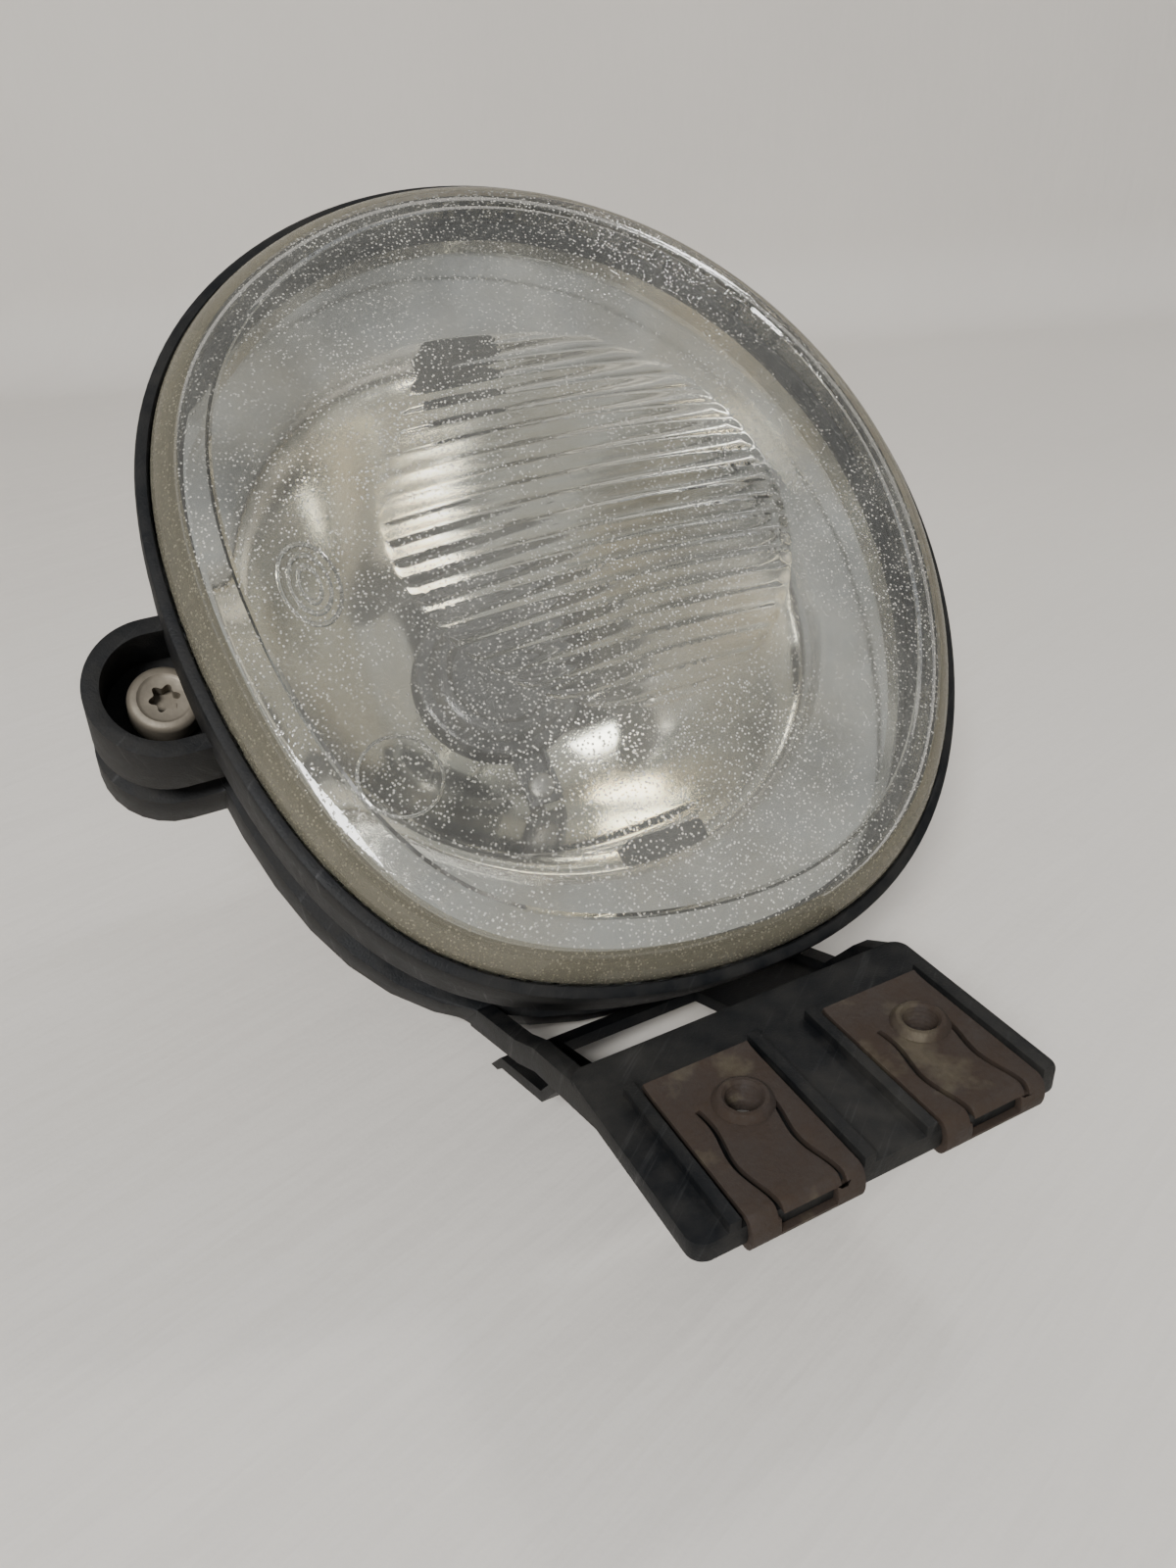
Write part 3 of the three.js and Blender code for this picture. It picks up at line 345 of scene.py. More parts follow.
def silvering(name):
    finish = Finish(name, Metallic=1.0)
    cloud = finish.ramp(finish.noise(26, 4, 0.6), (0.42, 0.0), (0.75, 1.0))
    smoky = finish.ramp(finish.noise(16, 3, 0.5), (0.52, 0.0), (0.66, 1.0))
    wave = finish.noise(20, 2, 0.4)
    aged = finish.mix(cloud, (0.97, 0.955, 0.88), (0.84, 0.74, 0.54))
    return finish.set(
        Base_Color=finish.mix(smoky * 0.75, aged, (0.20, 0.195, 0.18)),
        Roughness=0.09 + cloud * 0.10,
        Normal=finish.bump(wave, 0.004, 0.22),
    )


# ---------------------------------------------------------------- shaping


def alone(piece):
    bpy.ops.object.select_all(action="DESELECT")
    piece.select_set(True)
    bpy.context.view_layer.objects.active = piece


def modified(piece, kind, **settings):
    """Adds a modifier with these settings and applies it."""
    alone(piece)
    bpy.ops.object.modifier_add(type=kind)
    modifier = piece.modifiers[-1]
    for setting, value in settings.items():
        setattr(modifier, setting, value)
    bpy.ops.object.modifier_apply(modifier=modifier.name)
    return piece


def mended(piece):
    """Doubles merged and faces turned outwards."""
    alone(piece)
    bpy.ops.object.mode_set(mode="EDIT")
    bpy.ops.mesh.select_all(action="SELECT")
    bpy.ops.mesh.remove_doubles(threshold=1e-6)
    bpy.ops.mesh.normals_make_consistent(inside=False)
    bpy.ops.object.mode_set(mode="OBJECT")
    return piece


def rounded(piece, width, segments=2, angle=30):
    return modified(
        piece, "BEVEL", width=width, segments=segments, limit_method="ANGLE",
        angle_limit=math.radians(angle), harden_normals=False,
    )


def smooth(piece, angle=35):
    alone(piece)
    bpy.ops.object.shade_smooth_by_angle(angle=math.radians(angle))
    return piece


def cut_by(piece, *tools):
    for tool in tools:
        modified(piece, "BOOLEAN", operation="DIFFERENCE", solver="EXACT", object=tool)
        bpy.data.objects.remove(tool)
    return piece


def joined_to(piece, *others):
    for other in others:
        modified(piece, "BOOLEAN", operation="UNION", solver="EXACT", object=other)
        bpy.data.objects.remove(other)
    return piece


def grouped(piece, *others):
    """Shells that stand in each other, as one object."""
    alone(piece)
    for other in others:
        other.select_set(True)
    bpy.ops.object.join()
    return piece


def block(low, high, bevel=0.0, segments=2):
    """A block between two corners, in millimetres."""
    bpy.ops.object.select_all(action="DESELECT")
    size = [(h - l) * MM for l, h in zip(low, high)]
    middle = [(h + l) / 2 * MM for l, h in zip(low, high)]
    bpy.ops.mesh.primitive_cube_add(size=1, location=middle, scale=size)
    piece = bpy.context.object
    bpy.ops.object.transform_apply(location=True, rotation=True, scale=True)
    return rounded(piece, bevel * MM, segments) if bevel else piece


def rod(radius, low, high, steps=48, bevel=0.0):
    """A round bar between two points, in millimetres."""
    bpy.ops.object.select_all(action="DESELECT")
    start, end = Vector(low) * MM, Vector(high) * MM
    along = end - start
    bpy.ops.mesh.primitive_cylinder_add(
        vertices=steps, radius=radius * MM, depth=along.length, location=(start + end) / 2,
        rotation=along.to_track_quat("Z", "Y").to_euler(),
    )
    piece = bpy.context.object
    bpy.ops.object.transform_apply(location=True, rotation=True, scale=True)
    return rounded(piece, bevel * MM, 2) if bevel else piece


def turned(profile, centre=(0, 0), steps=64):
    """A profile of (radius, height), in millimetres, turned about Z by extruding a circle.

    A profile that starts or ends on the axis is closed there, and one that ends where it starts
    is a ring."""
    bpy.ops.object.select_all(action="DESELECT")
    open_start = profile[0][0] > 0
    body = profile if open_start else profile[1:]
    radius, height = body[0]
    bpy.ops.mesh.primitive_circle_add(
        vertices=steps, radius=radius * MM, location=(centre[0] * MM, centre[1] * MM, height * MM)
    )
    piece = bpy.context.object
    bpy.ops.object.transform_apply(location=True, rotation=True, scale=True)
    bpy.ops.object.mode_set(mode="EDIT")
    bpy.ops.mesh.select_mode(type="EDGE")
    bpy.ops.mesh.select_all(action="SELECT")
    if not open_start:
        bpy.ops.mesh.extrude_edges_move(
            TRANSFORM_OT_translate={"value": (0, 0, (profile[0][1] - height) * MM)}
        )
        bpy.ops.mesh.merge(type="CENTER")
        bpy.ops.object.mode_set(mode="OBJECT")
        for vertex in piece.data.vertices:
            vertex.select = vertex.index < steps
        for edge in piece.data.edges:
            edge.select = all(index < steps for index in edge.vertices)
        bpy.ops.object.mode_set(mode="EDIT")
    for new_radius, new_height in body[1:]:
        bpy.ops.mesh.extrude_edges_move(
            TRANSFORM_OT_translate={"value": (0, 0, (new_height - height) * MM)}
        )
        if new_radius == 0:
            bpy.ops.mesh.merge(type="CENTER")
            break
        share = new_radius / radius
        bpy.ops.transform.resize(
            value=(share, share, 1), center_override=(centre[0] * MM, centre[1] * MM, 0)
        )
        radius, height = new_radius, new_height
    bpy.ops.object.mode_set(mode="OBJECT")
    return mended(piece)


def wrapped(sections):
    """A surface through sections, each a ring of points: a grid rolled up and sewn."""
    bpy.ops.object.select_all(action="DESELECT")
    steps = len(sections[0])
    bpy.ops.mesh.primitive_grid_add(
        x_subdivisions=steps, y_subdivisions=len(sections) - 1, size=0.1
    )
    piece = bpy.context.object
    places = []
    for section in sections:
        for point in (*section, section[0]):
            places.extend(point)
    piece.data.vertices.foreach_set("co", places)
    return mended(piece)


def in_lamp(piece):
    """Takes a piece from the lamp's frame to the part's."""
    alone(piece)
    piece.matrix_world = LAMP
    bpy.ops.object.transform_apply(location=True, rotation=True, scale=True)
    return piece


def finished(piece, name, body, slot, material, *nodes, angle=35):
    """Names a piece, paints it and lets it ride on its body in place of its nodes."""
    smooth(piece, angle)
    piece.name = name
    piece.data.name = name
    if material:
        piece.data.materials.clear()
        piece.data.materials.append(material)
    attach(piece, body)
    if nodes:
        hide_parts(*nodes)
    return piece


def copied(node, bevel=0.0, angle=30):
    """A copy of a node with its doubles merged, flat faces whole and edges broken."""
    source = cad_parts[node]
    piece = bpy.data.objects.new(node + "_shown", source.data.copy())
    bpy.context.scene.collection.objects.link(piece)
    mended(piece)
    bpy.ops.object.mode_set(mode="EDIT")
    bpy.ops.mesh.select_all(action="SELECT")
    bpy.ops.mesh.dissolve_limited(angle_limit=math.radians(0.6))
    bpy.ops.object.mode_set(mode="OBJECT")
    return rounded(piece, bevel * MM, 2, angle) if bevel else piece


# ---------------------------------------------------------------- the lamp's outline and bowl


def sizes():
    return bpy.context.scene.fog_light_sizes


SQUARE_CORNER = math.radians(225)
SQUARENESS = 0.034
TOP_WIDENING = 0.026


def rim_point(turn):
    """A point of the rim's outline, squarer at the lower left and wider towards the top."""
    near = (1 + math.cos(turn - SQUARE_CORNER)) / 2
    square = SQUARENESS * near**2
    x = math.cos(turn) - square * math.cos(3 * turn)
    y = math.sin(turn) + square * math.sin(3 * turn)
    wide = sizes().half_width * x * (1 + TOP_WIDENING * math.sin(turn))
    return Vector((wide, sizes().half_height * y, 0))


def rim(inset, steps):
    """The outline moved inwards, square to itself, by an inset in millimetres."""
    points = []
    for i in range(steps):
        turn = 2 * math.pi * i / steps
        along = (rim_point(turn + 1e-3) - rim_point(turn - 1e-3)).normalized()
        points.append(rim_point(turn) + Vector((-along.y, along.x, 0)) * inset * MM)
    return points


def at_height(points, height):
    """The points at a height in millimetres, or at what a function of the point gives."""
    get = height if callable(height) else lambda p: height * MM
    return [Vector((p.x, p.y, get(p))) for p in points]


AXIS = Vector((-3, 1, 0)) * MM
AXIS_PLACE = (AXIS.x / MM, AXIS.y / MM)
BOWL_RING = 54
BOWL_RADIUS = BOWL_RING * MM
BOWL_EDGE = -14 * MM
FOCUS = 11.4 * MM
BOWL_VERTEX = BOWL_EDGE - BOWL_RADIUS**2 / (4 * FOCUS)
SKIRT_SLOPE = 0.3
EDGE_BLEND = 9 * MM


def bowl_height(point):
    """The reflector's height: a bowl that runs smoothly into the sloping skirt."""
    radius = Vector((point.x - AXIS.x, point.y - AXIS.y)).length
    bowl = BOWL_VERTEX + radius**2 / (4 * FOCUS)
    skirt = BOWL_EDGE + (radius - BOWL_RADIUS) * SKIRT_SLOPE
    blend = max(0.0, 1 - abs(bowl - skirt) / EDGE_BLEND)
    return min(bowl, skirt) - EDGE_BLEND * blend**2 / 4


def round_ring(radius, towards, centre=AXIS):
    """A circle's points, one towards each of the given points, with a radius in millimetres."""
    middle = Vector((centre.x, centre.y, 0))
    return [
        middle + Vector((p.x - centre.x, p.y - centre.y, 0)).normalized() * radius * MM
        for p in towards
    ]


def between(first, second, share):
    """The ring that lies a share of the way from the first ring to the second."""
    return [a.lerp(b, share) for a, b in zip(first, second)]


# ---------------------------------------------------------------- operators


class FogLightPiece:
    """What the operators of one piece share."""

    bl_options = {"REGISTER", "UNDO"}

    @property
    def colours(self):
        return bpy.context.scene.fog_light_colours


FACE_RADIUS = 0.761
GLASS_INSET = 2
FOOT_INSET = 6
FOOT_LEVELS = (-3, -7.7)
PATCH = Vector((1.8, 3.5, 0)) * MM
PATCH_BOW = 1.1
PATCH_EDGE = 1.6 * MM
FACE_RINGS = 20
BEAD_RINGS = 12
INNER_BEAD_RINGS = 6
SHELF_RINGS = 12
PATCH_RINGS = 92
ROUND_MARKS = (
    (-47, -34, 6.5, 6.5), (-50, 0, 4.6, 7.2), (-50, 0, 3.1, 5.2), (-50, 0, 1.6, 3.2),
)


class FOGLIGHT_OT_lens(FogLightPiece, bpy.types.Operator):
    """Pressed glass: a rounded rim, a domed face, and a patch of flutes on its inner face"""

    bl_idname = "foglight.lens"
    bl_label = "Glass"

    def face_height(self, point):
        return sizes().glass_peak - (point.x**2 + point.y**2) / (2 * FACE_RADIUS)

    def flutes(self, point):
        """How far the inner face is pressed in at a point."""
        centre = Vector((PATCH.x, PATCH.y))
        away = (Vector((point.x, point.y)) - centre).length
        inside = min(1.0, max(0.0, (sizes().flute_circle - away) / PATCH_EDGE))
        bowed = point.y - centre.y + PATCH_BOW * (point.x - centre.x) ** 2
        wave = abs(math.sin(math.pi * bowed / sizes().flute_pitch))
        lean = (0.6 * (point.x - centre.x) - 0.8 * (point.y - centre.y)) / sizes().flute_circle
        return sizes().flute_depth * (0.74 + 0.26 * lean) * wave * inside**0.6

    def inner_face(self, point):
        return self.face_height(point) - sizes().glass_wall

    def fluted_face(self, point):
        return self.inner_face(point) - self.flutes(point)

    def raised_marks(self):
        """Plain raised rings on the face, each as wide and high as its line says."""
        marks = []
        for x, y, wide, high in ROUND_MARKS:
            bpy.ops.object.select_all(action="DESELECT")
            z = self.face_height(Vector((x, y, 0)) * MM)
            bpy.ops.mesh.primitive_torus_add(
                major_segments=72, minor_segments=8, major_radius=wide * MM,
                minor_radius=0.3 * MM, location=(x * MM, y * MM, z),
            )
            mark = bpy.context.object
            mark.scale = (1, high / wide, 1)
            bpy.ops.object.transform_apply(location=True, rotation=True, scale=True)
            marks.append(in_lamp(mark))
        return marks

    def execute(self, context):
        steps = sizes().turns * 3
        wall = sizes().glass_wall
        bead = sizes().bead / MM
        outer, seam = rim(GLASS_INSET, steps), rim(GLASS_INSET + bead, steps)
        sections = []
        for k in range(FACE_RINGS):
            ring = between([Vector()] * steps, seam, k / FACE_RINGS)
            sections.append(at_height(ring, self.face_height))
        sections.append(at_height(rim(3 + bead, steps), self.face_height))
        sections.append(at_height(rim(2.5 + bead, steps), lambda p: self.face_height(p) - 0.4 * MM))
        for k in range(BEAD_RINGS + 1):
            turn = math.radians(90 * k / BEAD_RINGS)
            ring = rim(GLASS_INSET + bead * (1 - math.sin(turn)), steps)
            sections.append([
                Vector((p.x, p.y, MM + (self.face_height(s) - MM) * math.cos(turn)))
                for p, s in zip(ring, seam)
            ])
        for height in FOOT_LEVELS:
            sections.append(at_height(outer, height))
        inner = rim(FOOT_INSET, steps)
        for height in reversed(FOOT_LEVELS):
            sections.append(at_height(inner, height))
        for k in range(INNER_BEAD_RINGS + 1):
            turn = math.radians(90 * k / INNER_BEAD_RINGS)
            ring = rim(FOOT_INSET + 2 * (1 - math.cos(turn)), steps)
            sections.append([
                Vector((p.x, p.y, (self.face_height(s) - wall - MM) * math.sin(turn) + MM))
                for p, s in zip(ring, seam)
            ])
        edge = round_ring(sizes().flute_circle / MM + 0.4, inner, PATCH)
        start = rim(FOOT_INSET + 2, steps)
        for k in range(1, SHELF_RINGS):
            sections.append(at_height(between(start, edge, k / SHELF_RINGS), self.inner_face))
        for k in range(PATCH_RINGS):
            ring = between(edge, [PATCH] * steps, k / PATCH_RINGS)
            sections.append(at_height(ring, self.fluted_face))
        sections.append(at_height([PATCH] * steps, self.fluted_face))
        glass = in_lamp(wrapped(sections))
        grouped(glass, *self.raised_marks())
        clear = clear_glass("clear_glass", 0)
        dusty = clear_glass("dusty_glass", 1)
        rim_film = clear_glass("rim_glass", 1, (0.17, 0.155, 0.11), 0.46)
        finished(glass, "glass", "lamp", "lens_glass", dusty, "lens_glass", angle=30)
        glass.data.materials.append(clear)
        glass.data.materials.append(rim_film)
        self.share_out(glass, wall)
        return {"FINISHED"}

    def share_out(self, glass, wall):
        """Gives the inner face the clear glass and the rounded rim the brown film."""
        axis = LAMP.to_3x3() @ Vector((0, 0, 1))
        back = LAMP.inverted()
        for face in glass.data.polygons:
            middle = back @ face.center
            inside = face.normal.dot(axis) < 0 and middle.z < self.face_height(middle) - 0.5 * wall
            face.material_index = 1 if inside else 0
            if not inside and middle.z < self.face_height(middle) - 0.45 * MM:
                face.material_index = 2


class FOGLIGHT_OT_seal(FogLightPiece, bpy.types.Operator):
    """Bed of aged sealant that the glass stands in"""

    bl_idname = "foglight.seal"
    bl_label = "Sealant"

    def execute(self, context):
        steps = sizes().turns
        profile = [
            (2.0, -9.2), (2.0, -8.0), (3.0, -7.85), (5.0, -7.85), (6.0, -8.0), (6.0, -9.2),
            (2.0, -9.2),
        ]
        seal = in_lamp(wrapped([at_height(rim(inset, steps), z) for inset, z in profile]))
        material = plain_plastic("sealant", tuple(self.colours.sealant), 0.5)
        finished(seal, "sealant", "lamp", "rubber", material, "lens_seal")
        return {"FINISHED"}


SHELF_TOP = -44 * MM
SHELF_BLEND = 7 * MM
SHELF_HEIGHT = -21 * MM
SILVER_WALL = 2.4 * MM
RIM_LEVEL = -5.5
BULB_HOLE = 8.5
SEAT_RING = 18
SEAT_LEVEL = -82
SKIRT_RINGS = 16
BOWL_RINGS = 90
BACK_RINGS = 30
BACK_SKIRT_RINGS = 4


class FOGLIGHT_OT_reflector(FogLightPiece, bpy.types.Operator):
    """Silvered bowl with a flat shelf low down, and the rim round it"""

    bl_idname = "foglight.reflector"
    bl_label = "Reflector"

    def face(self, point):
        height = bowl_height(point)
        low = (SHELF_TOP - point.y) / SHELF_BLEND
        share = min(1.0, max(0.0, low))
        share = share * share * (3 - 2 * share)
        shelf = max(height, SHELF_HEIGHT)
        return height + (shelf - height) * share

    def behind(self, point):
        return self.face(point) - SILVER_WALL

    def execute(self, context):
        steps = sizes().turns * 3
        wall = rim(9, steps)
        outside = rim(7.8, steps)
        sections = [at_height(outside, RIM_LEVEL), at_height(wall, RIM_LEVEL)]
        edge = round_ring(BOWL_RING, wall)
        for k in range(SKIRT_RINGS + 1):
            sections.append(at_height(between(wall, edge, k / SKIRT_RINGS), self.face))
        for k in range(1, BOWL_RINGS + 1):
            radius = BOWL_RING + (BULB_HOLE - BOWL_RING) * k / BOWL_RINGS
            sections.append(at_height(round_ring(radius, wall), self.face))
        sections.append(at_height(round_ring(BULB_HOLE, wall), SEAT_LEVEL))
        sections.append(at_height(round_ring(SEAT_RING, wall), SEAT_LEVEL))
        sections.append(at_height(round_ring(SEAT_RING, wall), self.behind))
        for k in range(1, BACK_RINGS + 1):
            radius = SEAT_RING + (BOWL_RING - SEAT_RING) * k / BACK_RINGS
            sections.append(at_height(round_ring(radius, wall), self.behind))
        for k in range(1, BACK_SKIRT_RINGS + 1):
            sections.append(at_height(between(edge, outside, k / BACK_SKIRT_RINGS), self.behind))
        sections.append(at_height(outside, RIM_LEVEL))
        bowl = in_lamp(wrapped(sections))
        finished(bowl, "bowl", "lamp", "reflector", silvering("silvering"), "reflector", angle=40)
        return {"FINISHED"}


class FOGLIGHT_OT_shield(FogLightPiece, bpy.types.Operator):
    """Dark pressed cup in front of the bulb, on its riveted strap"""

    bl_idname = "foglight.shield"
    bl_label = "Bulb shield"

    def cup(self, radius):
        """The cup with its pressed rings: an outside and a lining that meet at its open edge."""
        outer = [
            (radius, -60), (radius, -54.9), (radius - 0.3, -54.3), (radius - 0.9, -54),
            (16.4, -54.2), (15.6, -54.3), (14.6, -53.0), (13.2, -52.2), (12.0, -52.3),
            (11.0, -53.2), (10.4, -54.4), (9.6, -54.7), (6, -54.2), (0, -53.8),
        ]
        inner = [
            (0, -55.8), (6, -55.7), (10.6, -55.3), (11.6, -54.6), (12.6, -53.8), (13.6, -53.9),
            (14.6, -54.9), (15.2, -55.1), (radius - 1.5, -55.1), (radius - 1.1, -55.5),
            (radius - 1.1, -60), (radius, -60),
        ]
        cup = turned([*reversed(outer)], AXIS_PLACE, 96)
        grouped(cup, turned(inner, AXIS_PLACE, 96))
        return mended(cup)

    def strap(self, radius):
        """The flat strap under the cup and its two turned-up edges."""
        x, y = AXIS_PLACE
        low = (x - 4, y - 30, -57.1)
        high = (x + 4, y - radius + 1.2, -56)
        edges = []
        flat = block(low, high, 0.25)
        for side in (-1, 1):
            left, right = x + side * 3.6 - 0.5, x + side * 3.6 + 0.5
            edges.append(block((left, low[1] + 1, -56.3), (right, high[1], -55.2), 0.3))
        return [flat, *edges]

    def execute(self, context):
        radius = sizes().shield_radius / MM
        cup = self.cup(radius)
        grouped(cup, *self.strap(radius))
        in_lamp(cup)
        dark = plain_metal("heated_steel", (0.19, 0.185, 0.18), 0.24, 0.2)
        finished(cup, "shield_cup", "lamp", "dark_steel", dark, "bulb_shield")
        head = [(0, -54.1), (1.4, -54.2), (2.4, -54.6), (2.9, -55.3), (2.9, -55.7)]
        shank = [(1.5, -55.7), (1.5, -62), (0, -62)]
        rivet = turned([*head, *shank], (AXIS_PLACE[0], AXIS_PLACE[1] - 26), 32)
        in_lamp(rivet)
        zinc = plain_metal("rivet_zinc", (0.5, 0.48, 0.44), 0.4)
        finished(rivet, "rivet", "lamp", "zinc", zinc, "shield_rivet")
        return {"FINISHED"}


SCREW_PLACE = (-74, -3)
HOUSING_BACK = 10 * MM
HOUSING_FACE = 4.6 * MM
CHANNEL_BACK = -12.5 * MM
NECK_OUTSIDE = 22
NECK_BORE = 19.5
NECK_END = -89
NECK_CHAMFER = 0.4
NECK_RINGS = 24
CAVITY_INSET = 7.5
LUG_RADIUS = 12.4
LUG_BORE = 9.6
LUG_BACK, LUG_FLOOR, LUG_FRONT = -24, -19.5, -9
PIVOT_HEIGHT = -34.5
RIB_COUNT = 12
RIB_STEPS = 14


class FOGLIGHT_OT_housing(FogLightPiece, bpy.types.Operator):
    """Black body: rim channel, bowl, ribs, neck, aiming lug and pivot bosses"""

    bl_idname = "foglight.housing"
    bl_label = "Housing"

    def outside(self, point):
        return min(bowl_height(point) - HOUSING_BACK, CHANNEL_BACK)

    def inside(self, point):
        return bowl_height(point) - HOUSING_FACE

    def shell(self):
        """One closed wall: over the rim channel, down the back, and up inside from the neck."""
        steps = sizes().turns
        rounds = [
            (CAVITY_INSET, -3.2), (7.3, -3), (6.5, -3), (6.3, -3.2), (6.3, -9.5), (1.7, -9.5),
            (1.7, 0.9), (1.4, 1.3), (0.3, 1.3), (-0.3, 1.0), (-0.5, 0.3), (-0.5, -3.2),
            (0, -3.8), (0, -11.5), (0.5, -12), (4.6, -12), (5, -12.4),
        ]
        sections = [at_height(rim(inset, steps), z) for inset, z in rounds]
        body = rim(5, steps)
        sections.append(at_height(body, self.outside))
        neck = round_ring(NECK_OUTSIDE, body)
        for k in range(1, NECK_RINGS):
            share = 1 - (1 - k / NECK_RINGS) ** 1.4
            sections.append(at_height(between(body, neck, share), self.outside))
        chamfered = NECK_END + NECK_CHAMFER
        for radius, z in (
            (NECK_OUTSIDE, -75), (NECK_OUTSIDE, chamfered), (NECK_OUTSIDE - NECK_CHAMFER, NECK_END),
            (NECK_BORE + NECK_CHAMFER, NECK_END), (NECK_BORE, chamfered), (NECK_BORE, -76),
        ):
            sections.append(at_height(round_ring(radius, body), z))
        cavity = rim(CAVITY_INSET, steps)
        bore = round_ring(NECK_BORE, body)
        for k in range(NECK_RINGS):
            sections.append(at_height(between(bore, cavity, k / NECK_RINGS), self.inside))
        sections.append(at_height(cavity, self.inside))
        sections.append(sections[0])
        return wrapped(sections)

    def lug(self):
        """The aiming lug: a deep round pocket that is open towards the rim."""
        x, y = SCREW_PLACE
        wall = rod(LUG_RADIUS, (x, y, LUG_BACK), (x, y, LUG_FRONT), 72)
        bridge = block((x, y - LUG_RADIUS, LUG_BACK), (x + 9, y + LUG_RADIUS, LUG_FRONT))
        joined_to(wall, bridge)
        hollow = rod(LUG_BORE, (x, y, LUG_FLOOR), (x, y, 0), 72)
        way = block((x, y - LUG_BORE, LUG_FLOOR), (x + 14, y + LUG_BORE, 0))
        cut_by(wall, joined_to(hollow, way), rod(3.6, (x, y, -30), (x, y, -10), 32))
        return rounded(wall, 0.5 * MM, 3)

    def rib(self, turn):
        """A rib that runs down the bowl's back."""
        bpy.ops.object.select_all(action="DESELECT")
        bpy.ops.mesh.primitive_grid_add(x_subdivisions=RIB_STEPS, y_subdivisions=1, size=0.1)
        piece = bpy.context.object
        out = Vector((math.cos(turn), math.sin(turn), 0))
        places = []
        for height in (0.0, 1.0):
            for k in range(RIB_STEPS + 1):
                radius = (21 + 23 * k / RIB_STEPS) * MM
                point = AXIS + out * radius
                root = bowl_height(point) - HOUSING_BACK + 1.0 * MM
                z = root - height * (4.6 - 2.4 * k / RIB_STEPS) * MM
                places.extend((point.x, point.y, z))
        piece.data.vertices.foreach_set("co", places)
        modified(piece, "SOLIDIFY", thickness=1.8 * MM, offset=0)
        return mended(rounded(piece, 0.3 * MM, 2, 50))

    def execute(self, context):
        parts = [self.lug()]
        for side in (-1, 1):
            low, high = ((-68, -50) if side < 0 else (50, 68))
            boss = block((-8, low, -42.5), (8, high, -14), 1.2, 3)
            start, end = ((-69, -59) if side < 0 else (59, 69))
            cut_by(boss, rod(5.3, (0, start, PIVOT_HEIGHT), (0, end, PIVOT_HEIGHT)))
            parts.append(boss)
        parts.append(block((15, -8, NECK_END), (23, 10, -72), 0.8))
        parts.extend(self.rib(2 * math.pi * (k + 0.5) / RIB_COUNT) for k in range(RIB_COUNT))
        spigot_back = cap_height("breather_cap")
        parts.append(rod(3, (23, 29, spigot_back), (23, 29, -50), 32))
        shell = grouped(self.shell(), *parts)
        in_lamp(shell)
        material = black_plastic("housing_plastic", self.colours)
        finished(shell, "housing", "lamp", "black_plastic", material, "lamp_housing")
        return {"FINISHED"}


def cap_height(node):
    """How far back a spigot reaches into a cap, in the lamp's millimetres."""
    back = LAMP.inverted()
    heights = [(back @ v.co).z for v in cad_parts[node].data.vertices]
    return min(heights) / MM + 3


class FOGLIGHT_OT_aim_screw(FogLightPiece, bpy.types.Operator):
    """Aiming screw with a six-lobed recess, its washer and the ball nut"""

    bl_idname = "foglight.aim_screw"
    bl_label = "Aiming screw"

    def execute(self, context):
        x, y = SCREW_PLACE
        head = turned([
            (0, -19.2), (5.2, -19.2), (6.0, -18.8), (6.0, -14.8), (5.8, -14.2), (5.2, -13.75),
            (4.4, -13.7), (4.1, -13.9), (3.8, -14.0), (0, -14.0),
        ], (x, y), 64)
        bpy.ops.object.select_all(action="DESELECT")
        bpy.ops.mesh.primitive_cylinder_add(vertices=72, radius=2.6 * MM, depth=5 * MM)
        recess = bpy.context.object
        for vertex in recess.data.vertices:
            turn = math.atan2(vertex.co.y, vertex.co.x)
            share = 0.85 + 0.15 * math.cos(6 * turn)
            vertex.co = (vertex.co.x * share, vertex.co.y * share, vertex.co.z)
        recess.matrix_world = Matrix.Translation(Vector((x, y, -14.2)) * MM)
        alone(recess)
        bpy.ops.object.transform_apply(location=True, rotation=True, scale=True)
        cut_by(head, recess)
        crest, root = 3.0, 2.55
        thread = [(0, -19.5), (crest, -19.5)]
        for k in range(30):
            top = -22.5 - k
            thread.extend([(crest, top), (root, top - 0.45), (crest, top - 0.9)])
        thread.extend([(2.2, -52), (0, -52)])
        shank = turned(thread, (x, y), 32)
        grouped(head, shank)
        in_lamp(head)
        zinc = plain_metal("dull_zinc", (0.23, 0.20, 0.155), 0.5, 0.16, 0.6)
        finished(head, "screw", "screw", "zinc", zinc, "aim_screw")
        return {"FINISHED"}


class FOGLIGHT_OT_bracket(FogLightPiece, bpy.types.Operator):
    """Black bracket: ring, foot, arms, web and mounting plate"""

    bl_idname = "foglight.bracket"
    bl_label = "Bracket"

    def execute(self, context):
        shown = copied("bracket_frame", 0.45, 40)
        material = black_plastic("bracket_plastic", self.colours, 1.2)
        finished(shown, "bracket", "bracket", "black_plastic", material, "bracket_frame")
        return {"FINISHED"}


NUT_MIDDLES = {"left": -14.2, "right": 17.0}
NUT_WIDTH = 17.5
NUT_FRONT = -17.0
NUT_BACK = 7.6
SHEET_TOP, SHEET_UNDER = 0.85, -4.05
FOLD_MIDDLE = -1.6
FOLD_STEPS = 12
SHEET_ROWS = 8
HOLE_ASIDE, HOLE_ALONG = 1.8, -1
SLIT_ASIDE = 4.9
SLIT_STEPS = 24


